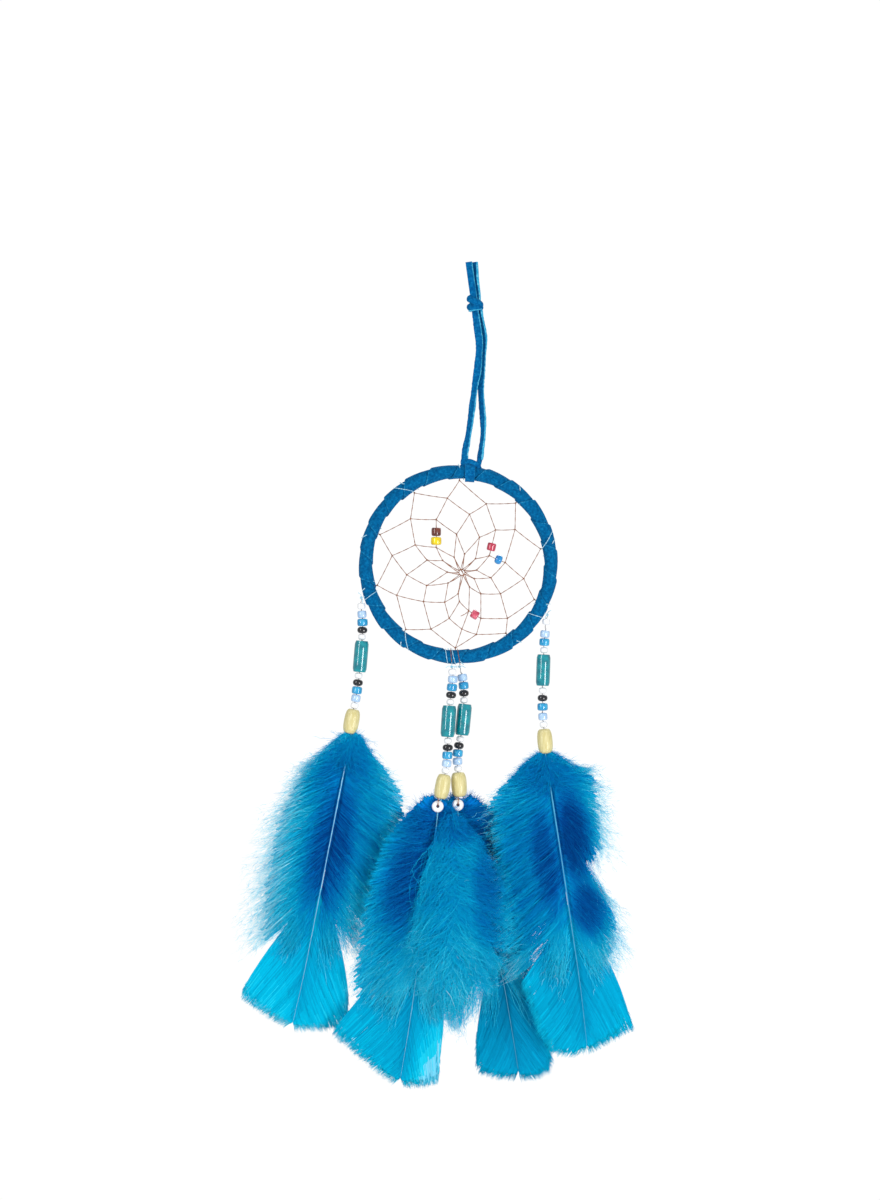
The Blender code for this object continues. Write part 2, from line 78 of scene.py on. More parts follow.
def noise(tree, scale, detail=4.0, stretch=(1, 1, 1), roughness=0.55):
    """Noise over the piece's own coordinates, stretched by a scale along each axis."""
    coords = tree.nodes.new("ShaderNodeTexCoord")
    mapping = tree.nodes.new("ShaderNodeMapping")
    mapping.inputs["Scale"].default_value = stretch
    texture = tree.nodes.new("ShaderNodeTexNoise")
    texture.inputs["Scale"].default_value = scale
    texture.inputs["Detail"].default_value = detail
    texture.inputs["Roughness"].default_value = roughness
    tree.links.new(coords.outputs["Object"], mapping.inputs["Vector"])
    tree.links.new(mapping.outputs["Vector"], texture.inputs["Vector"])
    return texture.outputs["Fac"]


def ramp(tree, factor, stops):
    node = tree.nodes.new("ShaderNodeValToRGB")
    elements = node.color_ramp.elements
    while len(elements) < len(stops):
        elements.new(0.5)
    for element, (place, colour) in zip(elements, stops):
        element.position = place
        element.color = colour
    tree.links.new(factor, node.inputs["Fac"])
    return node.outputs["Color"]


def bump(tree, shader, height, strength, distance):
    node = tree.nodes.new("ShaderNodeBump")
    node.inputs["Strength"].default_value = strength
    node.inputs["Distance"].default_value = distance
    tree.links.new(height, node.inputs["Height"])
    tree.links.new(node.outputs["Normal"], shader.inputs["Normal"])


def speckled(name, scale, dark, light, **values):
    """A plain material whose colour wanders between two shades."""
    mat, tree, shader = principled(name, **values)
    tree.links.new(ramp(tree, noise(tree, scale), [(0.3, rgb(*dark)), (0.7, rgb(*light))]),
                   shader.inputs["Base Color"])
    return mat


def suede(name, dark, mid, light):
    mat, tree, shader = principled(name, Roughness=0.95, Sheen_Weight=0.12, Sheen_Roughness=0.6,
                                   Sheen_Tint=rgb(90, 180, 220), Specular_IOR_Level=0.05)
    nap = noise(tree, 900, 6)
    tree.links.new(ramp(tree, nap, [(0.30, dark), (0.52, mid), (0.74, light)]), shader.inputs["Base Color"])
    bump(tree, shader, noise(tree, 2600, 3), 0.5, 0.00012)
    return mat


def glass(name, colour, depth, roughness=0.12, coat=0.6):
    """Glossy bead glass whose colour wanders a little between two shades of it."""
    mat, tree, shader = principled(name, Roughness=roughness, Coat_Weight=coat, Coat_Roughness=0.05, IOR=1.5)
    cloud = noise(tree, 420, 3)
    tree.links.new(ramp(tree, cloud, [(0.35, depth), (0.62, colour)]), shader.inputs["Base Color"])
    bump(tree, shader, noise(tree, 900, 2), 0.08, 0.0001)
    return mat


def make_materials():
    mats = {
        "suede": suede("blue suede", rgb(0, 70, 118), rgb(0, 93, 146), rgb(10, 118, 171)),
        "lap": suede("suede lap edge", rgb(0, 78, 128), rgb(10, 106, 156), rgb(60, 150, 190)),
        "cut": suede("suede cut edge", rgb(20, 130, 180), rgb(60, 170, 208), rgb(140, 212, 232)),
        "lace": suede("lace suede", rgb(0, 72, 128), rgb(0, 96, 154), rgb(20, 124, 180)),
        "white_glass": glass("white glass", rgb(250, 250, 250), rgb(232, 234, 238)),
        "pale_glass": glass("pale blue glass", rgb(184, 212, 240), rgb(158, 194, 232)),
        "blue_glass": glass("blue glass", rgb(52, 170, 216), rgb(10, 134, 190)),
        "black_glass": glass("black glass", rgb(22, 20, 26), rgb(8, 8, 12), 0.06),
        "teal_glass": glass("teal glass", rgb(0, 146, 156), rgb(0, 114, 130), 0.13, 0.7),
        "teal_lining": glass("teal lining", rgb(0, 120, 128), rgb(0, 92, 104), 0.3, 0.2),
        "brown_glass": glass("brown glass", rgb(128, 62, 42), rgb(86, 36, 28)),
        "yellow_glass": glass("yellow glass", rgb(250, 224, 10), rgb(228, 190, 0)),
        "red_glass": glass("red lined glass", rgb(196, 60, 86), rgb(150, 26, 52)),
        "sky_glass": glass("sky blue glass", rgb(40, 150, 214), rgb(16, 116, 190)),
        "pink_glass": glass("pink lined glass", rgb(226, 110, 130), rgb(190, 60, 86)),
    }
    mat, tree, shader = principled("pale turned wood", Roughness=0.42, Coat_Weight=0.15)
    grain = noise(tree, 260, 6, (9, 9, 0.7))
    tree.links.new(ramp(tree, grain, [(0.28, rgb(198, 184, 118)), (0.5, rgb(214, 202, 142)),
                                      (0.72, rgb(232, 224, 176))]), shader.inputs["Base Color"])
    bump(tree, shader, grain, 0.25, 0.00015)
    mats["pale_wood"] = mat

    # painted shade: the dark brown inside the holes of the wood and web beads
    mats["hole_shade"] = speckled("dark bore", 500, (46, 34, 22), (84, 66, 44), Roughness=0.8)
    mats["web_thread"] = speckled("waxed thread", 700, (112, 60, 32), (164, 104, 68), Roughness=0.5,
                                  Sheen_Weight=0.2)
    mats["bead_thread"] = speckled("white thread", 700, (120, 116, 118), (196, 194, 196), Roughness=0.55,
                                   Sheen_Weight=0.3)
    mats["pale_thread"] = speckled("pale thread", 700, (120, 200, 228), (214, 238, 246), Roughness=0.5,
                                   Sheen_Weight=0.2)
    mats["ring_wire"] = speckled("ring wire", 300, (120, 118, 112), (176, 172, 166), Roughness=0.35,
                                 Metallic=1.0)
    return mats


# barbs from the dark of the dense down to the pale frayed ends, each one plain shade of the blue dye;
# the dark shades also hold painted shade of the dense down, and the pale ones painted light through thin ends
FEATHER_SHADES = ((0, 66, 146), (0, 82, 164), (0, 100, 182), (0, 118, 198), (0, 134, 208), (0, 150, 216),
                  (0, 166, 222), (8, 184, 230), (30, 202, 240), (64, 216, 247), (120, 228, 250),
                  (170, 236, 252), (0, 130, 174), (0, 146, 190), (0, 162, 204), (0, 182, 220),
                  (26, 202, 232), (120, 214, 242))
# the shades up to DOWN_PALEST are the fluff's; the rest are the flat tips', dark to pale
DOWN_PALEST = 11
FAN_DARKEST = 12


def feather_materials():
    out = []
    for i, colour in enumerate(FEATHER_SHADES):
        # one plain material per shade; the dark and pale ones carry painted shade and painted light
        mat, _, _ = principled(f"feather dye {i}", Base_Color=rgb(*colour), Roughness=0.8, Sheen_Weight=0.02,
                               Sheen_Roughness=0.5, Sheen_Tint=rgb(60, 180, 230), Specular_IOR_Level=0.03)
        out.append(mat)
    out.append(speckled("feather shaft", 300, (24, 140, 184), (64, 172, 206), Roughness=0.35,
                        Coat_Weight=0.2))
    return out


# ---------------------------------------------------------------- mesh helpers

def new_object(name, data):
    obj = bpy.data.objects.new(name, data)
    bpy.context.scene.collection.objects.link(obj)
    return obj


class Builder:
    """Collects closed bodies and makes one mesh of them."""

    def __init__(self):
        self.points, self.faces, self.slots, self.count = [], [], [], 0

    def add(self, points, faces, slot=0):
        points = np.asarray(points, float).reshape(-1, 3)
        self.points.append(points)
        base = self.count
        self.faces.extend([tuple(base + i for i in face) for face in faces])
        self.slots.extend([slot] * len(faces) if np.isscalar(slot) else slot)
        self.count += len(points)

    def make(self, name, materials, smooth_angle=40):
        mesh = bpy.data.meshes.new(name)
        mesh.from_pydata(np.concatenate(self.points).tolist(), [], self.faces)
        for mat in materials:
            mesh.materials.append(mat)
        mesh.polygons.foreach_set("material_index", np.array(self.slots, np.int32))
        mesh.shade_smooth()
        if smooth_angle:
            mesh.set_sharp_from_angle(angle=math.radians(smooth_angle))
        mesh.update()
        return new_object(name, mesh)


def ring_faces(rows, columns, closed_rows=False, caps=True):
    """Faces between rings of equally many points, running row after row."""
    faces = []
    last = rows if closed_rows else rows - 1
    for r in range(last):
        a, b = r * columns, (r + 1) % rows * columns
        for c in range(columns):
            d = (c + 1) % columns
            faces.append((a + c, a + d, b + d, b + c))
    if caps and not closed_rows:
        faces.append(tuple(reversed(range(columns))))
        faces.append(tuple(range((rows - 1) * columns, rows * columns)))
    return faces


def path_frames(path, up=(0, 1, 0)):
    """Tangents and two cross directions along a path, the second kept close to up."""
    path = np.asarray(path, float)
    tangent = np.gradient(path, axis=0)
    tangent /= np.linalg.norm(tangent, axis=1, keepdims=True)
    up = np.broadcast_to(np.asarray(up, float), path.shape)
    side = np.cross(up, tangent)
    side /= np.linalg.norm(side, axis=1, keepdims=True)
    across = np.cross(tangent, side)
    return tangent, side, across


def sweep(builder, path, outline, slot=0, twist=0.0, scale=None, up=(0, 1, 0), slots=None):
    """A closed body along a path. outline lists (side, across) offsets, turned by twist at each step."""
    path = np.asarray(path, float)
    _, side, across = path_frames(path, up)
    outline = np.asarray(outline, float)
    scale = np.ones(len(path)) if scale is None else np.asarray(scale, float)
    rings = []
    for k, centre in enumerate(path):
        turn = twist * k
        c, s = math.cos(turn), math.sin(turn)
        u = (outline[:, 0] * c - outline[:, 1] * s) * scale[k]
        v = (outline[:, 0] * s + outline[:, 1] * c) * scale[k]
        rings.append(centre + u[:, None] * side[k] + v[:, None] * across[k])
    faces = ring_faces(len(path), len(outline))
    builder.add(np.concatenate(rings), faces, slot if slots is None else slots(len(path), len(outline)))


def circle(radius, sides=8):
    return [(radius * math.cos(2 * math.pi * k / sides), radius * math.sin(2 * math.pi * k / sides))
            for k in range(sides)]


def plied(radius, sides=10, plies=2):
    """A twisted thread's outline: lobes that meet at its middle."""
    return [(radius * (0.78 + 0.22 * math.cos(plies * a)) * math.cos(a),
             radius * (0.78 + 0.22 * math.cos(plies * a)) * math.sin(a))
            for a in (2 * math.pi * k / sides for k in range(sides))]


def smooth_path(points, spacing):
    """A Catmull-Rom curve through points, sampled evenly."""
    p = np.asarray(points, float)
    p = np.vstack([2 * p[0] - p[1], p, 2 * p[-1] - p[-2]])
    dense = []
    t = np.linspace(0, 1, 24, endpoint=False)[:, None]
    for a, b, c, d in zip(p, p[1:], p[2:], p[3:]):
        dense.append(0.5 * (2 * b + (c - a) * t + (2 * a - 5 * b + 4 * c - d) * t ** 2
                            + (3 * b - a - 3 * c + d) * t ** 3))
    dense = np.vstack(dense + [p[-2][None]])
    gone = np.concatenate([[0], np.cumsum(np.linalg.norm(np.diff(dense, axis=0), axis=1))])
    count = max(2, int(round(gone[-1] / spacing)) + 1)
    at = np.linspace(0, gone[-1], count)
    return np.stack([np.interp(at, gone, dense[:, k]) for k in range(3)], axis=1)


def node_centre(name):
    low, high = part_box(name)
    return np.array((low + high) / 2)


def finish_piece(obj, body, slot, *nodes):
    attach(obj, body)
    if nodes:
        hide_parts(*nodes)
    return obj


# ---------------------------------------------------------------- camera, light and floor

VIEW_CENTRE = Vector((-18.4 * MM, 0, -128.5 * MM))
VIEW_HEIGHT = 537.4 * MM
VIEW_DISTANCE = 3.2
SENSOR_HEIGHT = 24
LIT_MIDDLE = (-0.02, 0, -0.16)       # what the lamps point at
FLOOR_SIDES, FLOOR_RADIUS, FLOOR_HEIGHT = 96, 0.42, -0.46

# each lamp: place, width and height, energy
LAMPS = {
    "key": ((0.9, -1.3, -0.55), (0.5, 0.9), 17),
    "fill_left": ((-1.1, -1.1, 0.35), (0.35, 1.2), 10),
    "top_back": ((0.2, 1.0, 0.8), (0.9, 0.6), 9),
}


def make_camera():
    data = bpy.data.cameras.new("camera")
    data.sensor_fit = "VERTICAL"
    data.sensor_height = SENSOR_HEIGHT
    data.lens = SENSOR_HEIGHT * VIEW_DISTANCE / VIEW_HEIGHT
    camera = new_object("camera", data)
    camera.location = VIEW_CENTRE + Vector((0, -VIEW_DISTANCE, 0))
    camera.rotation_euler = (math.radians(90), 0, 0)
    bpy.context.scene.camera = camera


def background(tree, colour, strength):
    node = tree.nodes.new("ShaderNodeBackground")
    node.inputs["Color"].default_value = colour
    node.inputs["Strength"].default_value = strength
    return node.outputs["Background"]


def make_world():
    """Soft light from all round, and a plain white background to look at."""
    world = bpy.data.worlds.new("white studio")
    world.use_nodes = True
    bpy.context.scene.world = world
    tree = world.node_tree
    tree.nodes.clear()
    output = tree.nodes.new("ShaderNodeOutputWorld")
    mix = tree.nodes.new("ShaderNodeMixShader")
    path = tree.nodes.new("ShaderNodeLightPath")
    tree.links.new(path.outputs["Is Camera Ray"], mix.inputs["Fac"])
    tree.links.new(background(tree, (0.96, 0.98, 1.0, 1), 0.56), mix.inputs[1])
    tree.links.new(background(tree, (1, 1, 1, 1), 1.02), mix.inputs[2])
    tree.links.new(mix.outputs["Shader"], output.inputs["Surface"])


def make_lamp(name, place, size, energy):
    data = bpy.data.lights.new(name, "AREA")
    data.shape = "RECTANGLE"
    data.size, data.size_y = size
    data.energy = energy
    lamp = new_object(name, data)
    lamp.location = place
    lamp.rotation_euler = (Vector(LIT_MIDDLE) - Vector(place)).to_track_quat("-Z", "Y").to_euler()


def make_floor():
    floor_mesh = bpy.data.meshes.new("floor")
    turns = [2 * math.pi * k / FLOOR_SIDES for k in range(FLOOR_SIDES)]
    ring = [(FLOOR_RADIUS * math.cos(a) + LIT_MIDDLE[0], FLOOR_RADIUS * math.sin(a), FLOOR_HEIGHT)
            for a in turns]
    floor_mesh.from_pydata(ring, [], [tuple(range(FLOOR_SIDES))])
    floor = new_object("floor", floor_mesh)
    floor_mesh.materials.append(speckled("pale floor", 8, (244, 244, 244), (250, 250, 250), Roughness=0.9))


def make_studio():
    bpy.context.scene.view_settings.view_transform = "Standard"
    make_camera()
    make_world()
    for name, (place, size, energy) in LAMPS.items():
        make_lamp(name, place, size, energy)
    make_floor()


# ---------------------------------------------------------------- hoop and its suede

# Sizes of the CAD in millimetres, repeated because only its boxes can be read from the frame.
HOOP_CENTRE = node_centre("hoop_ring") / MM
TUBE_RADIUS = 3.05
HOOP_RADIUS = 44.5 - TUBE_RADIUS
WRAP_TURNS = 22
SUEDE_THICKNESS = 0.75
HITCH_ANGLE = 82.8
LACE_WIDTH = 3.4
LACE_THICKNESS = 1.3


def rim_point(angle, tube_angle, radius):
    """A point about the rim: angle runs round the hoop, tube_angle is 0 outward and 90 degrees in front."""
    outward = np.array([math.cos(angle), 0, math.sin(angle)])
    front = np.array([0, -1.0, 0])
    return (HOOP_CENTRE + HOOP_RADIUS * outward
            + radius * (math.cos(tube_angle) * outward + math.sin(tube_angle) * front))


def wrap_strip():
    """One strip wound round the ring; each turn's far edge lies on the start of the next turn."""
    steps = 44
    pitch = 2 * math.pi / WRAP_TURNS
    across = np.array([0, 0.16, 0.34, 0.54, 0.74, 0.88, 0.965, 1.0])
    start = math.radians(HITCH_ANGLE + 12)
    builder = Builder()
    total = WRAP_TURNS * steps
    rings = []
    for k in range(total + 1):
        turn = k / steps
        wobble = 0.06 * math.sin(turn * 1.7) + 0.05 * math.sin(turn * 4.3 + 1)
        wide = pitch * (1.24 + wobble)
        tube_angle = 2 * math.pi * turn
        middle = start + pitch * turn
        swell = 0.13 * math.sin(k * 0.31) + 0.10 * math.sin(k * 0.83 + 2) + RNG.uniform(-0.05, 0.05)
        outer_edge, inner_edge = [], []
        for a in across:
            angle = middle + wide * (a - 0.5)
            climb = 0.78 * a ** 1.6
            belly = 0.2 * math.sin(math.pi * a)
            radius = TUBE_RADIUS - 0.5 + climb + belly + swell * (0.4 + 0.6 * a)
            outer_edge.append(rim_point(angle, tube_angle, radius))
            inner_edge.append(rim_point(angle, tube_angle, radius - SUEDE_THICKNESS * (0.55 + 0.35 * a)))
        rings.append(outer_edge + inner_edge[::-1])
    columns = 2 * len(across)
    edge_column = len(across) - 1
    faces = ring_faces(len(rings), columns)
    slots = []
    for index in range(len(faces)):
        column = index % columns
        slots.append(1 if index < len(faces) - 2 and column in (edge_column - 1, edge_column) else 0)
    builder.add(np.concatenate(rings) * MM, faces, slots)
    return builder.make("hoop_suede_wrap", [MATS["suede"], MATS["lap"]], 35)


def rim_loop(builder, angle, tilt, radius, thread, spread=(0, 360)):
    """A thread round the rim, leaning by tilt in degrees from one side of the rim to the other."""
    path = []
    for k in range(37):
        tube_angle = math.radians(spread[0] + (spread[1] - spread[0]) * k / 36)
        lean = math.radians(tilt) * math.cos(tube_angle)
        sunk = 0.13 * math.sin(tube_angle * 2.0 + angle)
        path.append(rim_point(math.radians(angle) + lean, tube_angle, radius + sunk))
    sweep(builder, np.array(path) * MM, plied(thread * MM, 8), twist=0.9, up=(0.31, 0.9, 0.3))


def make_hoop():
    finish_piece(wrap_strip(), "hoop", "suede", "hoop_wrap")
    core = bpy.data.objects["hoop_ring"]
    core.data.materials.clear()
    core.data.materials.append(MATS["ring_wire"])

    hitches = Builder()
    for i, angle in enumerate(ANCHOR_ANGLES):
        rim_loop(hitches, angle + 1.2 * math.sin(i * 2.3), 3.4 + 1.6 * math.cos(i * 1.9), TUBE_RADIUS + 0.34,
                 0.23, spread=(150, 420))
        if i % 3 == 1:
            rim_loop(hitches, angle + 4.4, 4.5, TUBE_RADIUS + 0.34, 0.2, spread=(20, 170))
    for angle in (199.5, 262.6, 267.0, -33.6):
        rim_loop(hitches, angle, 1.4, TUBE_RADIUS + 0.45, 0.18, spread=(-30, 330))
    finish_piece(hitches.make("web_hitch_loops", [MATS["pale_thread"]]), "hoop", "bead_thread")
    low_loops = Builder()
    for angle in (265.6, 270.3):
        rim_loop(low_loops, angle, 0.8, TUBE_RADIUS + 0.5, 0.17, spread=(-10, 350))
    finish_piece(low_loops.make("low_web_hitches", [MATS["web_thread"]]), "hoop", "web_thread")


# ---------------------------------------------------------------- lace

def flat_outline(width, thickness, points=5):
    """A strip's outline with slightly rounded edges; the first and last few sides are its flat faces."""
    w, t = width / 2, thickness / 2
    across = np.linspace(-1, 1, points)
    low_face = [(a * w * 0.94, -t) for a in across]
    high_face = [(a * w * 0.94, t) for a in across[::-1]]
    return low_face + [(w, -t * 0.5), (w, t * 0.5)] + high_face + [(-w, t * 0.5), (-w, -t * 0.5)]


def edge_slots(rows, columns):
    """The light cut edges of a strip are its outline's side faces."""
    per_row = [1 if c in (4, 5, 6, 11, 12, 13) else 0 for c in range(columns)]
    return per_row * (rows - 1) + [1, 1]


def strip(builder, path, width=LACE_WIDTH, thickness=LACE_THICKNESS, up=(0, 1, 0), roll=None, taper=None):
    path = np.asarray(path, float) * MM
    if roll is not None:
        roll = np.radians(roll)
        up = np.stack([np.sin(roll), np.cos(roll), 0 * roll], axis=1)
    sweep(builder, path, np.array(flat_outline(width, thickness)) * MM, scale=taper, up=up, slots=edge_slots)


LACE_STRANDS = {
    "lace_strand_left": (-0.85, ((-7.3, -65.6), (-7.1, -62.0), (-6.1, -56.9), (-5.0, -50.2), (-4.0, -42.5),
                                 (-2.7, -32.2), (-1.6, -25.5), (-0.8, -14.3), (-1.5, -7.6), (-2.4, -0.6))),
    "lace_strand_right": (0.85, ((-0.5, -65.6), (0.1, -61.3), (0.9, -54.6), (0.9, -47.9), (0.2, -39.0),
                                 (-0.1, -32.2), (0.4, -25.5), (1.1, -16.6), (1.2, -9.9), (-0.3, -0.6))),
}


def make_lace():
    make_hang_knot()
    for name, (depth, points) in LACE_STRANDS.items():
        path = smooth_path([(x, depth, z) for x, z in points], 0.9)
        t = np.linspace(0, 1, len(path))
        right = name.endswith("right")
        ragged = RNG.uniform(-0.06, 0.06, len(path))
        widening = 0.0 if right else 0.1 * np.clip((t - 0.35) / 0.35, 0, 1)
        width = 0.86 + widening + 0.07 * np.sin(t * 23 + right) + ragged
        roll = (38 if right else 26) + 14 * np.sin(t * 6.5 + right)
        builder = Builder()
        strip(builder, path, roll=roll, taper=width)
        piece = builder.make(name + "_suede", [MATS["lace"], MATS["cut"]])
        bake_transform(piece)
        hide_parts(name)
    make_lace_hitch()


def fold_outline(width, thickness, points=18):
    """The soft rounded outline of lace that is folded on itself."""
    turns = np.linspace(0, 2 * math.pi, points, endpoint=False)
    return np.stack([width / 2 * np.cos(turns), thickness / 2 * np.sin(turns)], axis=1)


def knot_turn(builder, centre, radius, height, lean, angles, outline, slot=0):
    """One turn of lace round the knot; its two ends are tucked in behind."""
    turns = np.radians(np.linspace(angles[0], angles[1], 56))
    share = np.linspace(-0.5, 0.5, 56)
    tuck = 1 - 0.45 * np.abs(2 * share) ** 7
    path = np.stack([centre[0] + radius[0] * tuck * np.cos(turns), radius[1] * tuck * np.sin(turns),
                     centre[2] + height + lean * np.cos(turns) + share * 0.9], axis=1)
    outward = np.stack([np.cos(turns), np.sin(turns), 0.25 + 0 * turns], axis=1)
    sweep(builder, path * MM, outline * MM, slot=slot, up=outward)


def make_hang_knot():
    """Both ends of the lace tied in one overhand knot, with two cut tails above it."""
    builder = Builder()
    centre = np.array([-2.9, 0, 4.1])
    knot_turn(builder, centre, (2.75, 2.2), 1.25, -1.5, (-200, 160), fold_outline(3.2, 2.4))
    knot_turn(builder, centre, (2.85, 2.3), -1.5, 0.1, (-160, 200), fold_outline(2.8, 2.2))
    knot_turn(builder, centre, (3.2, 2.7), -2.65, 0.35, (-170, 190), fold_outline(0.5, 1.3), 1)
    knot_turn(builder, centre, (1.3, 1.1), 0.2, -0.4, (-170, 190), fold_outline(5.6, 2.2))
    left_end = smooth_path([(-2.4, -0.6, -2.0), (-2.6, -0.6, 1.0), (-2.9, -0.4, 4.4), (-3.4, -0.8, 7.8),
                            (-3.9, -0.9, 11.0), (-4.7, -0.9, 17.0), (-5.5, -0.9, 22.9)], 0.8)
    right_end = smooth_path([(-0.2, 0.6, -2.0), (-0.4, 0.7, 1.0), (-1.3, 0.7, 4.4), (-1.5, 0.7, 8.0),
                             (-1.9, 0.7, 12.0), (-2.3, 0.8, 18.0), (-2.8, 0.8, 22.9)], 0.8)
    strip(builder, left_end, 3.0, 1.3, roll=14 + 8 * np.sin(np.arange(len(left_end)) * 0.3))
    strip(builder, right_end, 2.7, 1.3, roll=48 + 10 * np.sin(np.arange(len(right_end)) * 0.35))
    finish_piece(builder.make("lace_knot", [MATS["lace"], MATS["cut"]]), "hanger", "suede", "hang_knot")


def make_lace_hitch():
    """The lace's bight: a double band round the rim, and the fold over its top between the two strands."""
    builder = Builder()
    turns = np.radians(np.linspace(-60, 300, 48))
    for away, lift in ((-1.45, 0.62), (1.4, 0.72)):
        angle = math.radians(HITCH_ANGLE + away)
        path = np.array([rim_point(angle + math.radians(0.5 * math.cos(a)), a, TUBE_RADIUS + lift)
                         for a in turns])
        strip(builder, path, 2.35, 1.15, up=path - rim_point(angle, 0, 0))
    top = rim_point(math.radians(HITCH_ANGLE), 0, TUBE_RADIUS + 1.0)

    def bight(points, width, thickness, up):
        path = smooth_path([top + np.array(p) for p in points], 0.4)
        sweep(builder, path * MM, fold_outline(width, thickness) * MM, up=up)

    bight(((-3.2, -0.4, -1.7), (-2.7, -1.2, 0.3), (-1.1, -1.9, 1.0), (1.2, -2.1, 0.3), (3.0, -1.6, -0.9),
           (3.8, 0.3, -2.4)), 2.3, 1.5, (0, -1, 0.35))
    bight(((-2.8, -0.85, 2.4), (-3.3, -1.1, 0.2), (-2.3, -1.2, -1.9)), 2.9, 1.5, (0, -1, 0.1))
    bight(((4.0, 0.85, 2.4), (3.5, 0.8, 0.2), (3.0, 0.6, -1.9)), 2.4, 1.5, (0, -1, 0.1))
    finish_piece(builder.make("lace_bight", [MATS["lace"], MATS["cut"]]), "hitch", "suede", "lace_hitch")


# ---------------------------------------------------------------- web

WEB_THREAD = 0.21              # radius
ANCHOR_ANGLES = (-92.0, 231.2, 194.5, 159.2, 121.6, 89.2, 46.9, 10.6, -24.9, -55.4)
ANCHOR_RADIUS = HOOP_RADIUS - TUBE_RADIUS - 0.9
WEB_ROUNDS = {
    "b": ((-12.3, -29.0), (-27.6, -13.9), (-29.6, 3.9), (-21.4, 20.4), (-4.9, 29.6),
          (12.5, 27.1), (25.4, 15.6), (29.3, -6.4), (22.0, -24.2), (8.1, -31.4)),
    "c": ((-15.6, -16.7), (-23.1, -4.7), (-19.3, 8.7), (-9.9, 20.0), (5.0, 22.4),
          (16.7, 15.4), (21.0, 0.8), (18.9, -13.2), (10.1, -24.2), (1.6, -29.0)),
    "d": ((-14.2, -9.5), (-14.0, 1.9), (-9.9, 7.6), (-0.8, 13.5), (9.5, 12.1),
          (13.9, 3.9), (14.6, -6.0), (10.1, -13.2), (4.7, -20.8)),
    "e": ((-4.9, -3.5), (-7.0, 1.7), (-1.9, 3.2), (2.8, 4.6), (7.7, 2.5),
          (8.2, -2.6), (7.1, -6.4), (5.0, -10.1)),
    "low": ((-4.1, -24.2), (-6.1, -17.0), (0.5, -16.7), (-0.1, -13.2), (-4.6, -8.4)),
}
WEB_EYE = (1.6, -3.6)
WEB_EYE_RADIUS = 1.35
WEB_EYE_START = 222            # direction of the eye's first corner, degrees
WEB_BEAD_HOLE = 1.3

# each web bead: the thread it is on, how far along, diameter, height, glass
WEB_BEADS = {
    "web_bead_brown": (("c", 3), ("d", 2), 0.44, 4.3, 3.8, "brown_glass"),
    "web_bead_yellow": (("c", 3), ("d", 2), 0.77, 4.7, 3.6, "yellow_glass"),
    "web_bead_red": (("c", 5), ("d", 5), 0.66, 4.0, 3.6, "red_glass"),
    "web_bead_blue": (("c", 6), ("d", 5), 0.42, 4.2, 3.2, "sky_glass"),
    "web_bead_pink": (("c", 8), ("d", 8), 0.5, 4.0, 3.4, "pink_glass"),
}


def web_cells():
    """The open cells between the threads, each a round of named knots."""
    cells = [[("a", 0), ("b", 9), ("c", 9)], [("a", 0), ("c", 9), ("low", 0), ("b", 0)]]
    cells += [[("a", i), ("b", i - 1), ("c", i - 1), ("b", i)] for i in range(1, 10)]
    cells += [[("b", i + 1), ("c", i), ("d", i), ("c", i + 1)] for i in range(9)]
    cells += [[("b", 0), ("low", 0), ("low", 1), ("c", 0)], [("c", 9), ("d", 8), ("low", 2), ("low", 0)],
              [("c", 0), ("low", 1), ("low", 4), ("d", 0)], [("low", 0), ("low", 2), ("low", 3), ("low", 1)]]
    cells += [[("c", i + 1), ("d", i), ("e", i), ("d", i + 1)] for i in range(8)]
    cells += [[("d", 0), ("low", 4), ("eye", 0), ("e", 0)]]
    cells += [[("d", i), ("e", i - 1), ("eye", i), ("e", i)] for i in range(1, 8)]
    cells += [[("d", 8), ("e", 7), ("eye", 8), ("low", 3), ("low", 2)],
              [("low", 1), ("low", 3), ("eye", 9), ("low", 4)]]
    cells += [[("e", i), ("eye", i), ("eye", i + 1)] for i in range(8)]
    cells += [[("low", 3), ("eye", 8), ("eye", 9)], [("low", 4), ("eye", 9), ("eye", 0)]]
    return cells


def web_places():
    places = {}
    for i, angle in enumerate(ANCHOR_ANGLES):
        turn = math.radians(angle)
        places["a", i] = HOOP_CENTRE + ANCHOR_RADIUS * np.array([math.cos(turn), 0, math.sin(turn)])
    for key, points in WEB_ROUNDS.items():
        for i, (x, z) in enumerate(points):
            places[key, i] = HOOP_CENTRE + np.array([x, 0, z])
    for i in range(10):
        turn = math.radians(WEB_EYE_START - 36 * i)
        places["eye", i] = HOOP_CENTRE + np.array([WEB_EYE[0] + WEB_EYE_RADIUS * math.cos(turn), 0,
                                                   WEB_EYE[1] + WEB_EYE_RADIUS * math.sin(turn)])
    return places


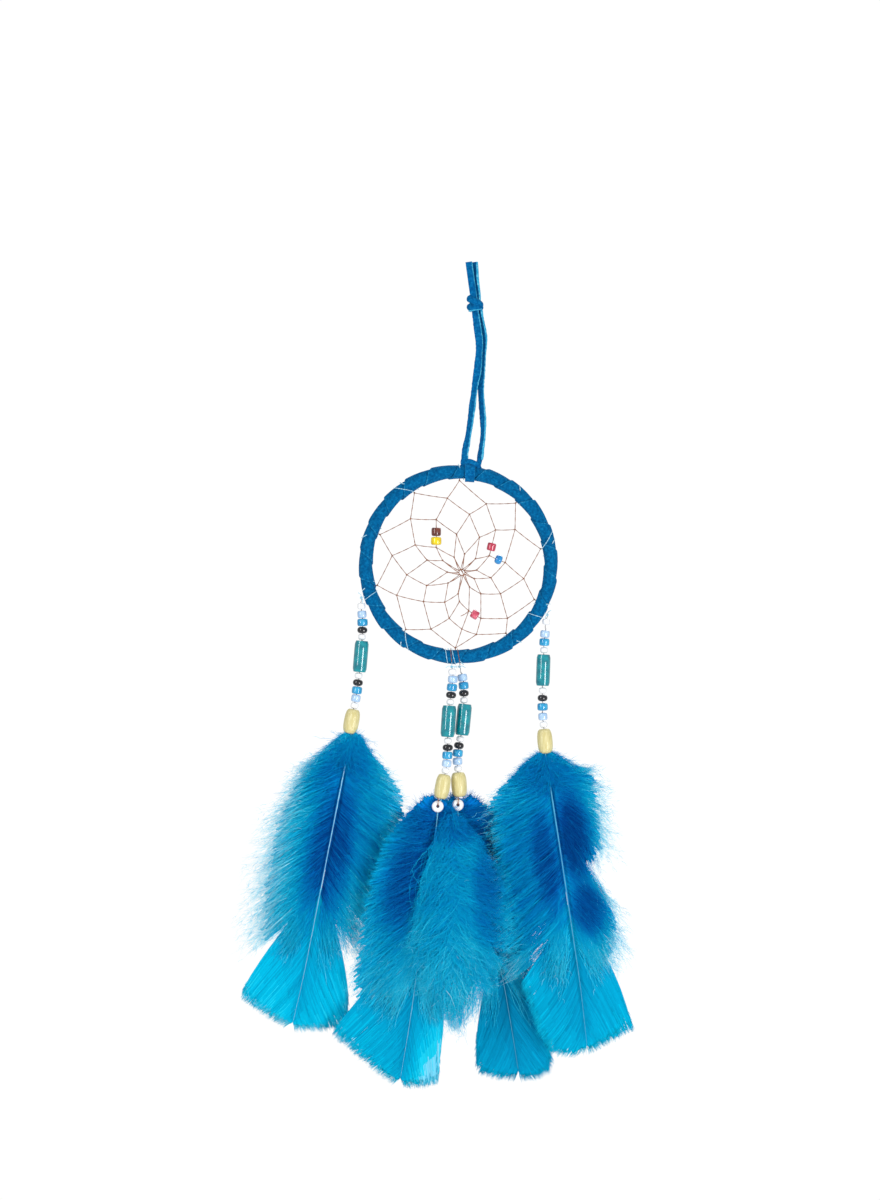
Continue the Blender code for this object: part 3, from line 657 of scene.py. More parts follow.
def make_web():
    places = web_places()
    threads = set()
    for cell in web_cells():
        for one, two in zip(cell, cell[1:] + cell[:1]):
            threads.add(tuple(sorted((one, two))))
    builder = Builder()
    for one, two in sorted(threads):
        a, b = places[one], places[two]
        along = (b - a) / np.linalg.norm(b - a)
        t = np.linspace(0, 1, max(5, int(np.linalg.norm(b - a) / 0.8)))[:, None]
        sag = np.array([0, 0, -0.18]) * np.sin(math.pi * t) + np.array([0, 0.25, 0]) * np.sin(math.pi * t)
        path = a - along * 0.15 + (b - a + along * 0.3) * t + sag
        sweep(builder, path * MM, plied(WEB_THREAD * MM, 8), twist=0.8, up=(0.2, 1, 0.11))
    for key, place in places.items():
        if key[0] == "eye":
            continue
        hitch_knot(builder, place, 0.42, RNG.uniform(0, 3))
    eye = [places["eye", i % 10] for i in range(11)]
    for lift in (-0.2, 0.25):
        ring = smooth_path([p + np.array([0, lift, 0]) for p in eye], 0.4)
        sweep(builder, ring * MM, plied(WEB_THREAD * MM, 8), twist=0.8)
    for i in range(len(ANCHOR_ANGLES)):
        anchor = places["a", i]
        outward = (anchor - HOOP_CENTRE) / np.linalg.norm(anchor - HOOP_CENTRE)
        link = np.array([anchor - 0.2 * outward, anchor + 0.9 * outward,
                         anchor + 1.6 * outward + (0, -0.5, 0)])
        sweep(builder, link * MM, plied(1.25 * WEB_THREAD * MM, 8), twist=0.8)
    middle = HOOP_CENTRE + np.array([WEB_EYE[0], 0, WEB_EYE[1]])
    pull = smooth_path([middle + (-1.0, -0.3, 1.6), middle + (0.2, -0.5, 0.2),
                        middle + (0.9, -0.3, -1.5)], 0.4)
    sweep(builder, pull * MM, plied(1.4 * WEB_THREAD * MM, 8), twist=0.8)
    end = places["d", 8]
    loose = smooth_path([end, end + (-1.6, -0.9, -1.4), end + (-3.6, -1.3, -2.4)], 0.4)
    sweep(builder, loose * MM, plied(WEB_THREAD * MM, 8), twist=0.8)
    finish_piece(builder.make("web_waxed_thread", [MATS["web_thread"]]), "hoop", "web_thread", "web_thread")
    make_web_beads(places)


def make_web_beads(places):
    for name, (near, far, share, diameter, height, finish) in WEB_BEADS.items():
        span = places[far] - places[near]
        builder = Builder()
        turned_bead(builder, places[near] + span * share, span / np.linalg.norm(span), diameter, height,
                    WEB_BEAD_HOLE, square=0.55 if name != "web_bead_blue" else 0.2)
        # the inside of the bead's hole is painted shade
        finish_piece(builder.make(name + "_glass", [MATS[finish], MATS["hole_shade"]]), "hoop", name, name)


def hitch_knot(builder, place, radius, turn):
    """A small knot where two threads hitch: two crossed loops of thread."""
    for k in range(2):
        angles = np.linspace(0, 2 * math.pi, 13)
        tilt = turn + k * 1.3
        u = np.array([math.cos(tilt), 0, math.sin(tilt)])
        v = np.array([-math.sin(tilt) * 0.4, 1.0, math.cos(tilt) * 0.4])
        path = place + radius * 0.62 * (np.cos(angles)[:, None] * u + np.sin(angles)[:, None] * v)
        sweep(builder, path * MM, circle(0.2 * MM, 6), up=(0.3, 0.2, 0.93))


# ---------------------------------------------------------------- beads

BEAD_WOBBLE = 0.03             # how far out of round a bead is


def turned_bead(builder, centre, direction, diameter, height, hole, square=0.35, sides=32):
    """A bead turned round its hole; square is how straight its sides are: 0 is round and 1 is a tube."""
    r, h, inner = diameter / 2, height / 2, hole / 2
    profile = []
    steps = 14
    power = 2 + 10 * square ** 2
    for k in range(steps + 1):
        a = math.pi * (k / steps - 0.5)
        c, s = math.cos(a), math.sin(a)
        size = (abs(c) ** power + abs(s) ** power) ** (-1 / power)
        profile.append((inner + (r - inner) * c * size, h * s * size))
    profile += [(inner, h * 0.8), (inner * 0.92, 0), (inner, -h * 0.8)]
    direction = np.asarray(direction, float)
    side = np.cross([0, 1.0, 0], direction)
    side /= np.linalg.norm(side)
    front = np.cross(direction, side)
    phase = RNG.uniform(0, 6)
    rings = []
    for k in range(sides):
        a = 2 * math.pi * k / sides
        swell = 1 + BEAD_WOBBLE * (0.5 * math.sin(2 * a + phase) + 0.3 * math.sin(3 * a + 2 * phase))
        spoke = math.cos(a) * side + math.sin(a) * front
        rings.append([centre + spoke * (x * swell if x > inner * 1.05 else x) + direction * z
                      for x, z in profile])
    columns = len(profile)
    faces = ring_faces(sides, columns, closed_rows=True, caps=False)
    slots = [1 if (i % columns) >= steps + 1 else 0 for i in range(len(faces))]
    builder.add(np.concatenate(rings) * MM, faces, slots)


# each kind: outer diameter, height, hole, squareness, material
BEADS = {
    "top_bead": (3.5, 2.7, 1.1, 0.35, "white_glass"),
    "pale_bead": (4.25, 3.3, 1.2, 0.45, "pale_glass"),
    "blue_bead": (4.7, 3.4, 1.2, 0.5, "blue_glass"),
    "black_bead": (4.5, 2.95, 1.3, 0.15, "black_glass"),
    "spacer": (3.5, 2.6, 1.1, 0.2, "white_glass"),
    "tube_bead": (6.4, 14.1, 2.2, 0.85, "teal_glass"),
    "wood_bead": (7.0, 11.0, 3.0, 0.25, "pale_wood"),
    "quill_bead": (5.3, 2.7, 1.5, 0.15, "white_glass"),
}
STRING_THREAD = 0.26           # radius
TIE_THREAD = 0.2
STRING_ORDER = ("top_bead", "pale_bead", "blue_bead", "black_bead", "tube_bead", "black_bead_low",
                "blue_bead_low", "pale_bead_low", "wood_bead")


def string_beads(side_name):
    return [b for b in STRING_ORDER if f"{side_name}_{b}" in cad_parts]


def make_string(side_name):
    beads = string_beads(side_name)
    tie = node_centre(side_name + "_tie") / MM
    centres = {b: node_centre(f"{side_name}_{b}") / MM for b in beads}
    line = smooth_path([tie] + [centres[b] for b in beads], 0.25)
    gone = np.concatenate([[0], np.cumsum(np.linalg.norm(np.diff(line, axis=0), axis=1))])

    def at(distance):
        place = np.array([np.interp(distance, gone, line[:, k]) for k in range(3)])
        ahead = np.array([np.interp(distance + 1.5, gone, line[:, k]) for k in range(3)])
        behind = np.array([np.interp(distance - 1.5, gone, line[:, k]) for k in range(3)])
        return place, (behind - ahead) / np.linalg.norm(ahead - behind)

    where = {b: gone[np.argmin(np.linalg.norm(line - centres[b], axis=1))] for b in beads}
    for b in beads:
        kind = b.removesuffix("_low")
        diameter, height, hole, square, finish = BEADS[kind]
        _, direction = at(where[b])
        builder = Builder()
        turned_bead(builder, centres[b], direction, diameter * RNG.uniform(0.97, 1.02), height, hole, square,
                    sides=40 if kind == "tube_bead" else 32)
        # the inside of the hole: the tube's teal lining, painted shade for wood beads, else the bead's glass
        lining = {"tube_bead": "teal_lining", "wood_bead": "hole_shade"}.get(kind, finish)
        body = side_name + {"tube_bead": "_tube", "wood_bead": "_feather"}.get(kind, "_beads")
        finish_piece(builder.make(f"{side_name}_{b}_turned", [MATS[finish], MATS[lining]]), body, finish,
                     f"{side_name}_{b}")

    spacers = Builder()
    for above, below in (("black_bead", "tube_bead"), ("tube_bead", "black_bead_low"),
                         ("pale_bead_low", "wood_bead")):
        if above not in where:
            above = "blue_bead"
        top = where[above] + BEADS[above.removesuffix("_low")][1] / 2
        bottom = where[below] - BEADS[below.removesuffix("_low")][1] / 2
        place, direction = at((top + bottom) / 2)
        diameter, height, hole, square, _ = BEADS["spacer"]
        turned_bead(spacers, place, direction, diameter, height, hole, square, sides=28)
    finish_piece(spacers.make(side_name + "_spacers", [MATS["white_glass"], MATS["white_glass"]]),
                 side_name + "_beads", "white_glass")

    thread = Builder()
    sway = 0.18 * np.sin(gone * 2.1)[:, None] * np.array([1.0, 0, 0])
    sweep(thread, (line + sway)[::2] * MM, plied(STRING_THREAD * MM, 8), twist=0.5)
    piece = thread.make(side_name + "_bead_thread", [MATS["bead_thread"]])
    finish_piece(piece, side_name + "_beads", "bead_thread", side_name + "_thread")
    make_tie(side_name, tie)
    if f"{side_name}_quill_bead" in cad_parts:
        make_quill_bead(side_name)


def make_tie(side_name, tie):
    """The knot at the rim, with its two cut ends and the loop that holds it to the rim."""
    builder = Builder()
    for k in range(3):
        angles = np.linspace(0, 2 * math.pi, 17)
        u = np.array([math.cos(k * 1.05), 0.3, math.sin(k * 1.05)])
        v = np.array([-math.sin(k * 1.05), 0.8, math.cos(k * 1.05)])
        path = tie + 0.46 * (np.cos(angles)[:, None] * u + np.sin(angles)[:, None] * v)
        sweep(builder, path * MM, circle(0.19 * MM, 6), up=(0.3, 0.2, 0.93))
    out = tie - HOOP_CENTRE
    out /= np.linalg.norm(out)
    for lean in (-1, 1):
        aside = np.array([out[2], 0, -out[0]]) * lean
        end = smooth_path([tie, tie + aside * 1.2 - out * 0.3, tie + aside * 2.6 + out * 0.5], 0.3)
        sweep(builder, end * MM, plied(TIE_THREAD * MM, 8), twist=0.6)
    stem = smooth_path([tie, tie - out * 0.9 + (0, -0.5, 0), tie - out * 1.9 + (0, -1.5, 0)], 0.3)
    sweep(builder, stem * MM, plied(TIE_THREAD * MM, 8), twist=0.6)
    finish_piece(builder.make(side_name + "_tie_knot", [MATS["pale_thread"]]), side_name + "_tie",
                 "bead_thread", side_name + "_tie")


def make_quill_bead(side_name):
    """The clear-white ring bead under a middle wood bead, with the thread that holds it passing its hole."""
    name = side_name + "_quill_bead"
    centre = node_centre(name) / MM
    diameter, height, hole, square, finish = BEADS["quill_bead"]
    builder = Builder()
    turned_bead(builder, centre, (0.04, -0.99, 0.08), diameter, height, hole, square, sides=40)
    loop = smooth_path([centre + (0.1, 1.2, 3.9), centre + (0.2, -0.9, 3.1), centre + (0.2, -1.75, 1.8),
                        centre + (0.1, -1.6, 0.5), centre + (0, -0.2, -0.15), centre + (0, 1.9, 0.0)], 0.3)
    sweep(builder, loop * MM, plied(STRING_THREAD * MM, 8), slot=2, twist=0.5, up=(1, 0.1, 0))
    finish_piece(builder.make(name + "_ring", [MATS[finish], MATS[finish], MATS["web_thread"]]),
                 side_name + "_feather", "white_glass", name)


# ---------------------------------------------------------------- feathers

class Strands:
    """Many thin closed prisms along paths, made into one mesh at once."""

    def __init__(self):
        self.points, self.corners, self.sizes, self.shades, self.count = [], [], [], [], 0

    def add(self, paths, half_width, half_thickness, shades, sides=3, fan=False):
        """paths is (strands, steps, 3); the rest are (strands, steps), shades one less step."""
        paths = np.asarray(paths, float)
        number, steps, _ = paths.shape
        tangent = np.gradient(paths, axis=1)
        tangent /= np.linalg.norm(tangent, axis=2, keepdims=True) + 1e-12
        side = np.cross(np.array([0.0, 1.0, 0.0]), tangent)
        side /= np.linalg.norm(side, axis=2, keepdims=True) + 1e-12
        across = np.cross(tangent, side)
        if sides == 3:
            corners = [(0.0, 1.0), (-0.87, -0.5), (0.87, -0.5)]
        else:
            corners = [(1.0, 0.3), (0.0, 1.0), (-1.0, 0.3), (0.0, -1.0)]
        width = np.broadcast_to(half_width, (number, steps))[..., None]
        thick = np.broadcast_to(half_thickness, (number, steps))[..., None]
        rings = np.stack([paths + side * (u * width) + across * (v * thick) for u, v in corners], axis=2)
        self.points.append(rings.reshape(-1, 3))
        quads = [(k * sides + c, k * sides + (c + 1) % sides, (k + 1) * sides + (c + 1) % sides,
                  (k + 1) * sides + c) for k in range(steps - 1) for c in range(sides)]
        ends = [tuple(reversed(range(sides))), tuple((steps - 1) * sides + c for c in range(sides))]
        local = np.array([i for face in quads + ends for i in face])
        sizes = np.array([4] * len(quads) + [sides, sides])
        base = self.count + np.arange(number)[:, None] * steps * sides
        self.corners.append((base + local).ravel())
        self.sizes.append(np.tile(sizes, number))
        shades = np.rint(np.broadcast_to(shades, (number, steps - 1)))
        darkest, palest = (FAN_DARKEST, len(FEATHER_SHADES) - 1) if fan else (0, DOWN_PALEST)
        shades = np.clip(shades, darkest, palest)
        walls = np.repeat(shades, sides, axis=1)
        self.shades.append(np.concatenate([walls, shades[:, :1], shades[:, -1:]], axis=1).ravel())
        self.count += number * steps * sides

    def make(self, name, materials):
        points = np.concatenate(self.points)
        corners = np.concatenate(self.corners).astype(np.int32)
        sizes = np.concatenate(self.sizes)
        mesh = bpy.data.meshes.new(name)
        mesh.vertices.add(len(points))
        mesh.vertices.foreach_set("co", (points * MM).ravel())
        mesh.loops.add(len(corners))
        mesh.loops.foreach_set("vertex_index", corners)
        mesh.polygons.add(len(sizes))
        mesh.polygons.foreach_set("loop_start", np.concatenate([[0], np.cumsum(sizes)[:-1]]).astype(np.int32))
        for mat in materials:
            mesh.materials.append(mat)
        mesh.polygons.foreach_set("material_index", np.concatenate(self.shades).astype(np.int32))
        mesh.update(calc_edges=True)
        mesh.shade_smooth()
        return new_object(name, mesh)


# each feather's plan, in millimetres; sides are -1, left, and 1, right, and shares run from 0 to 1:
#   depth          how deep the blade lies
#   shaft          points (x, z) of the shaft below the bead
#   shaft_raised   how far the shaft stands in front of the blade
#   straight       how far below the bead the blade stays in the bead's plane
#   down           the reach of the fluff to each side, from the top down
#   down_shaft     the stretch of the shaft that the fluff grows from, as shares
#   lean           degrees at which the fluff leaves the shaft, at its top and at its end
#   loose          how far the fluff's roots scatter off the shaft
#   tufts          how many tufts the fluff gathers in
#   wave           how many times wavier than usual the fluff is
#   wisps          how many long loose barbs each side has, as a multiple of WISPS
#   edge           how much paler the fluff turns at its outline: painted light through its thin outer barbs
#   base           how near and how far the broad barbs under the fluff reach, as shares
#   base_end       the share of the outline at which those broad barbs stop
#   fan            the line the flat tip's barbs end on, from its outer corner in to the shaft
#   fan_shaft      the stretch of the shaft that the flat tip grows from, as shares
#   fan_shade      the flat tip's shade
#   pale_corner    how much paler the flat tip's outer corner is: painted light through its thin barbs
#   slits          cuts in the flat tip: share along it, and depth as a share of the barb
#   dark           painted shade where the fluff is dense, in patches: place beside the shaft, height, half width, half height, strength
FEATHERS = {
    "left": {
        "depth": 2.6,
        "shaft": ((-61.4, -205.1), (-69.4, -245.8), (-78.9, -293.8), (-84.6, -319.0)),
        "down": {
            -1: ((-60.9, -190.3), (-65.4, -193.4), (-73.0, -198.8), (-81.1, -204.6), (-88.7, -218.1),
                 (-94.5, -229.3), (-98.1, -247.2), (-100.8, -262.9), (-102.0, -271.8), (-101.0, -285.0)),
            1: ((-56.0, -189.4), (-53.3, -190.3), (-48.8, -198.5), (-42.0, -205.5), (-37.0, -212.6),
                (-34.8, -220.3), (-36.0, -231.5), (-37.6, -244.9), (-39.4, -258.4), (-42.1, -271.8),
                (-46.8, -284.0), (-53.3, -291.7)),
        },
        "down_shaft": (0.0, 0.55),
        "shaft_raised": 1.5,
        "edge": {-1: 1.5, 1: 0.8},
        "wisps": {-1: 1.8, 1: 0.3},
        "base_end": {1: 0.88},
        "base": {-1: (0.7, 0.92), 1: (0.9, 1.04)},
        "fan_shade": 15.0,
        "fan": {
            -1: ((-107.2, -303.5), (-107.9, -307.8), (-98.1, -313.5), (-85.5, -318.2)),
            1: ((-59.4, -308.0), (-59.8, -320.2), (-72.1, -320.9), (-83.8, -319.0)),
        },
        "fan_shaft": (0.53, 0.985),
        "dark": ((1, -240, 11, 33, 1.0), (0, -206, 17, 18, 0.62), (16, -235, 12, 26, 0.45)),
    },
    "mid_left": {
        "depth": -5.4,
        "shaft": ((-19.0, -220.0), (-19.8, -228.0), (-21.5, -244.9), (-25.1, -263.0), (-30.5, -307.6),
                  (-36.3, -343.5)),
        "down": {
            -1: ((-21.9, -215.8), (-25.6, -216.7), (-33.8, -224.8), (-42.5, -235.1), (-49.0, -253.0),
                 (-52.0, -268.2), (-54.5, -285.2), (-57.0, -300.3), (-52.0, -312.0)),
            1: ((-17.5, -216.5), (-12.1, -222.0), (-7.4, -233.5), (-4.9, -249.4), (-4.9, -267.3),
                (-9.4, -285.2), (-14.8, -300.9)),
        },
        "straight": 8.0,
        "down_shaft": (0.03, 0.56),
        "shaft_raised": 2.3,
        "loose": 1.0,
        "edge": {-1: 0.0, 1: 0.0},
        "wisps": {-1: 0.2, 1: 0.4},
        "base": {-1: (0.9, 1.05), 1: (0.8, 1.0)},
        "pale_corner": {1: 2.7},
        "fan_shade": 14.2,
        "fan": {
            -1: ((-66.0, -320.6), (-67.2, -324.2), (-60.9, -328.7), (-54.2, -333.6), (-45.2, -339.0),
                 (-37.2, -343.0)),
            1: ((-19.5, -338.0), (-19.3, -345.5), (-25.1, -346.0), (-35.4, -343.5)),
        },
        "fan_shaft": (0.45, 0.985),
        "dark": ((-9, -254, 12, 25, 0.9), (-2, -230, 15, 18, 0.85), (10, -240, 10, 20, 0.6)),
    },
    "mid_right": {
        "depth": 5.6,
        "shaft": ((-10.6, -222.0), (-8.5, -234.0), (-0.4, -262.9), (8.5, -293.3), (13.0, -316.6),
                  (16.9, -340.6)),
        "down": {
            -1: ((-13.0, -215.8), (-18.4, -224.8), (-20.2, -240.5), (-18.4, -262.9), (-11.6, -285.2),
                 (-4.0, -300.9)),
            1: ((-4.9, -215.8), (5.0, -221.6), (13.7, -224.0), (19.2, -230.5), (22.4, -244.9),
                (23.3, -262.9), (23.3, -280.8), (21.5, -296.0)),
        },
        "straight": 8.0,
        "down_shaft": (0.03, 0.56),
        "loose": 1.0,
        "edge": {-1: 0.0, 1: 0.0},
        "wisps": {-1: 0.4, 1: 0.2},
        "base": {-1: (0.8, 1.0), 1: (0.9, 1.05)},
        "slits": {1: ((0.3, 0.06),), -1: ((0.42, 0.05),)},
        "fan_shade": 13.2,
        "fan": {
            -1: ((-2.0, -326.0), (-2.4, -337.2), (-0.6, -341.0), (8.5, -342.0), (16.1, -341.0)),
            1: ((31.6, -324.0), (32.2, -335.4), (30.6, -340.0), (24.2, -342.0), (17.5, -341.4)),
        },
        "fan_shaft": (0.56, 0.985),
        "dark": ((10, -240, 17, 22, 0.82), (12, -270, 17, 22, 0.78), (0, -222, 20, 12, 0.78),
                 (-10, -270, 14, 30, 0.55)),
    },
    "right": {
        "depth": -2.6,
        "shaft": ((31.3, -214.0), (35.4, -240.5), (40.7, -276.3), (44.3, -300.9), (47.4, -328.0)),
        "down": {
            -1: ((24.2, -199.3), (17.5, -203.6), (11.1, -210.4), (5.2, -215.8), (3.4, -220.3),
                 (4.6, -231.5), (5.5, -244.9), (5.5, -258.4), (6.9, -271.8), (9.1, -285.0), (13.2, -299.0)),
            1: ((32.2, -198.8), (35.4, -200.2), (43.0, -204.6), (50.6, -204.6), (54.5, -214.0),
                (55.4, -232.0), (56.3, -239.6), (51.9, -245.8), (44.3, -253.9), (52.4, -259.7),
                (58.7, -265.1), (62.2, -274.1), (60.9, -285.7), (56.5, -294.0)),
        },
        "down_shaft": (0.0, 0.56),
        "shaft_raised": 1.5,
        "edge": {-1: 0.5, 1: 1.1},
        "wisps": {-1: 0.3, 1: 1.7},
        "base_end": {-1: 0.88},
        "base": {-1: (0.85, 1.02), 1: (0.76, 0.95)},
        "slits": {1: ((0.26, 0.09), (0.55, 0.1), (0.78, 0.12)), -1: ((0.6, 0.08),)},
        "fan_shade": 14.0,
        "fan": {
            -1: ((17.5, -300.9), (21.9, -312.1), (25.5, -323.3), (30.5, -330.9), (40.7, -331.4),
                 (47.0, -328.4)),
            1: ((67.5, -318.5), (68.5, -321.5), (60.0, -325.1), (53.3, -326.9), (47.9, -328.4)),
        },
        "fan_shaft": (0.52, 0.985),
        "dark": ((7, -234, 9, 23, 1.1), (9, -266, 9, 13, 1.0), (-7, -246, 8, 26, 0.92),
                 (0, -208, 20, 13, 0.62), (-18, -250, 12, 40, 0.5)),
    },
}

# the soft second plume that lies on the middle feathers, from the same quill as the left one of them
PLUME = {
    "depth": -8.6,
    "shaft": ((-12.6, -240.0), (-12.8, -266.0), (-11.6, -310.0)),
    "down": {
        -1: ((-16.0, -229.0), (-20.0, -240.0), (-25.0, -255.0), (-30.5, -272.0), (-35.0, -289.0),
             (-29.5, -302.0), (-21.5, -307.0), (-15.5, -316.0), (-11.8, -321.0)),
        1: ((-9.0, -229.0), (0.5, -239.5), (9.5, -254.0), (13.5, -272.0), (12.0, -288.0), (4.0, -302.0),
            (-4.0, -311.0), (-10.6, -321.0)),
    },
    "down_shaft": (0.0, 0.95),
    "lean": (34, 14),
    "wave": 1.7,
    "loose": 3.6,
    "wisps": {-1: 0.5, 1: 0.5},
    "edge": {-1: 0.0, 1: 0.0},
    "base": {-1: (0.3, 0.75), 1: (0.3, 0.75)},
    "tufts": 9,
    "dark": ((0, -230, 17, 10, 0.6), (0, -250, 30, 34, 0.3), (16, -256, 8, 26, 0.62)),
}


def turned(along, turn):
    """Directions along, turned by an angle in radians."""
    c, s = np.cos(turn), np.sin(turn)
    return np.stack([along[:, 0] * c - along[:, 1] * s, along[:, 0] * s + along[:, 1] * c], axis=1)


def point_on(line, share):
    """Places at shares of a polyline's length."""
    line = np.asarray(line, float)
    gone = np.concatenate([[0], np.cumsum(np.linalg.norm(np.diff(line, axis=0), axis=1))])
    at = np.asarray(share) * gone[-1]
    return np.stack([np.interp(at, gone, line[:, k]) for k in range(line.shape[1])], axis=-1)


class Feather:
    """Grows one feather's shaft, flat tip and fluff round its shaft line."""

    def __init__(self, plan, top, start_depth, seed):
        self.plan = plan
        self.side = 1
        self.top = np.array([top[0], top[1]])
        line = smooth_path([(x, 0, z) for x, z in ((top[0], top[1]),) + self.plan["shaft"]], 1.0)
        self.line = line[:, (0, 2)]
        self.start_depth = start_depth
        self.rng = np.random.default_rng(seed)

    def depth(self, z):
        """How deep the blade lies at a height: it leaves the bead's plane over the first stretch."""
        share = np.clip((self.top[1] - self.plan.get("straight", 0.0) - z) / 14, 0, 1)
        share = share * share * (3 - 2 * share)
        return self.start_depth + (self.plan["depth"] - self.start_depth) * share

    def shaft_x(self, z):
        return np.interp(-z, -self.line[:, 1], self.line[:, 0])

    def painted_shade(self, x, z):
        # painted shade: the fluff is made darker in these patches, for the light that its many dense layers
        # hold back
        offset = x - self.shaft_x(z)
        dark = np.zeros_like(x)
        for away, height, wide, tall, strength in self.plan["dark"]:
            reach = ((offset - away) / wide) ** 2 + ((z - height) / tall) ** 2
            dark = np.maximum(dark, strength / (1 + reach ** 2))
        return dark

    def bend(self, start, end, lean, steps, wave, curl):
        """Barbs from the shaft to their tips: they leave at the lean, then wave by up to the wave given."""
        number = len(start)
        t = np.linspace(0, 1, steps)[None, :, None]
        reach = end - start
        length = np.linalg.norm(reach, axis=1, keepdims=True)
        control = start + lean * length * 0.5
        path = ((1 - t) ** 2 * start[:, None] + 2 * t * (1 - t) * control[:, None] + t ** 2 * end[:, None])
        across = np.stack([-reach[:, 1], reach[:, 0]], axis=1) / (length + 1e-9)
        phase = self.rng.uniform(0, 2 * math.pi, (number, 1))
        turns = self.rng.uniform(0.5, 1.6, (number, 1)) * curl
        sway = wave * np.sin(phase + turns * 2 * math.pi * t[..., 0]) * t[..., 0]
        return path + across[:, None] * sway[..., None]

    def leans(self, start, side, angle):
        """Unit directions turned out from the shaft's own by an angle in degrees."""
        k = np.clip(np.searchsorted(-self.line[:, 1], -start[:, 1]), 1, len(self.line) - 1)
        along = self.line[k] - self.line[k - 1]
        along /= np.linalg.norm(along, axis=1, keepdims=True)
        return turned(along, np.radians(angle) * side)

    def to_space(self, path, lift):
        """Adds the depth of the blade, and each point's own lift off it, to (x, z) paths."""
        below = self.top[1] - self.plan.get("straight", 0.0) - path[..., 1]
        room = np.where(lift < 0, np.clip(below / 6 + 0.6, 0.0, 1.0), 1.0) if "straight" in self.plan else 1.0
        return np.stack([path[..., 0], self.depth(path[..., 1]) + lift * room, path[..., 1]], axis=-1)

    def shade_of(self, path, pale, drop):
        """The shade at the middle of each step of each barb: pale, and up to drop lower in the patches of
        painted shade.
        """
        middle = (path[:, 1:] + path[:, :-1]) / 2
        return pale - drop * self.painted_shade(middle[..., 0], middle[..., 1])

    def grow_down(self, strands, side, number, reach, width, layer, wave, steps=8):
        rng = self.rng
        self.side = side
        u = np.sort(rng.uniform(0, 1, number))
        first, last = self.plan["down_shaft"]
        start = point_on(self.line, np.clip(first + (last - first) * u ** 1.35 + rng.normal(0, 0.012, number),
                                            0, 1))
        loose = self.plan.get("loose", 0.0)
        room = np.clip(u * 4, 0.05, 1)[:, None]
        start = start + rng.normal(0, 1, start.shape) * (loose, 1.2 * loose) * room + (side * 0.35, 0)
        tufts = self.plan.get("tufts", 26)
        clumped = u + 0.95 / (2 * math.pi * tufts) * np.sin(2 * math.pi * tufts * u + 3 * side)
        target = point_on(self.plan["down"][side], np.clip(clumped + rng.normal(0, 0.005, number), 0, 1))
        share = reach(rng, number)[:, None]
        tuft_shade = 0.7 * np.sin(2 * math.pi * tufts * u * 0.5 + side)[:, None]
        end = start + (target - start) * share
        wide, narrow = self.plan.get("lean", (68, 42))
        lean = self.leans(start, side, wide + (narrow - wide) * u + rng.normal(0, 9 + 5 * loose, number))
        wave = wave * self.plan.get("wave", 1.0)
        path = self.bend(start, end, lean, steps, wave * rng.uniform(0.3, 1.0, (number, 1)), 1.0)
        t = np.linspace(0, 1, steps)[None]
        puff = rng.uniform(layer[0], layer[1], (number, 1))
        lift = puff * np.sin(t * math.pi * 0.6) + 0.35 * np.sin(t * 9 + rng.uniform(0, 6, (number, 1))) * t
        taper = np.clip(1.15 - 0.9 * t ** 2, 0.2, 1) * width * rng.uniform(0.75, 1.25, (number, 1))
        shade = self.shade_of(path, 8.1, 7.0)
        edge = 2.4 * self.plan["edge"][side]
        shade = shade + rng.normal(0, 0.7, (number, 1))
        # painted light: the fluff turns paler towards its outline, where its thin barbs let light through
        shade = shade + edge * np.clip(share - 0.9, 0, 0.2) * 6 * t[:, 1:] ** 3
        shade = shade + 0.9 * edge * (share * t[:, 1:]) ** 3 + tuft_shade
        strands.add(self.to_space(path, lift), taper / 2, taper / 2 * 0.8, shade)
        return path, lift

    def grow_base(self, strands, side, number=150):
        """Broad soft barbs under the fluff that close the feather's middle."""
        rng = self.rng
        u = np.linspace(0, self.plan.get("base_end", {}).get(side, 1.0), number)
        first, last = self.plan["down_shaft"]
        start = point_on(self.line, first + (last - first) * u ** 1.35)
        target = point_on(self.plan["down"][side], u)
        near, far = self.plan.get("base", {}).get(side, (0.78, 0.97))
        end = start + (target - start) * rng.uniform(near, far, (number, 1))
        wide, narrow = self.plan.get("lean", (68, 42))
        lean = self.leans(start, side, wide + (narrow - wide) * u)
        path = self.bend(start, end, lean, 9, 0.4 * rng.uniform(0.3, 1.0, (number, 1)), 0.7)
        t = np.linspace(0, 1, 9)[None]
        lift = rng.uniform(-0.5, 0.5, (number, 1)) * t
        span = np.linalg.norm(np.diff(target, axis=0), axis=1)
        wide = np.clip(np.append(span, span[-1:])[:, None] * 3.0, 0.8, 2.6)
        taper = wide * np.clip(0.35 + 1.5 * t, 0, 1) * np.clip(1.25 - 0.9 * t ** 4, 0.2, 1)
        shade = self.shade_of(path, 7.8, 7.0) + rng.normal(0, 0.35, (number, 1))
        strands.add(self.to_space(path, lift), taper / 2, 0.09, shade, sides=4)

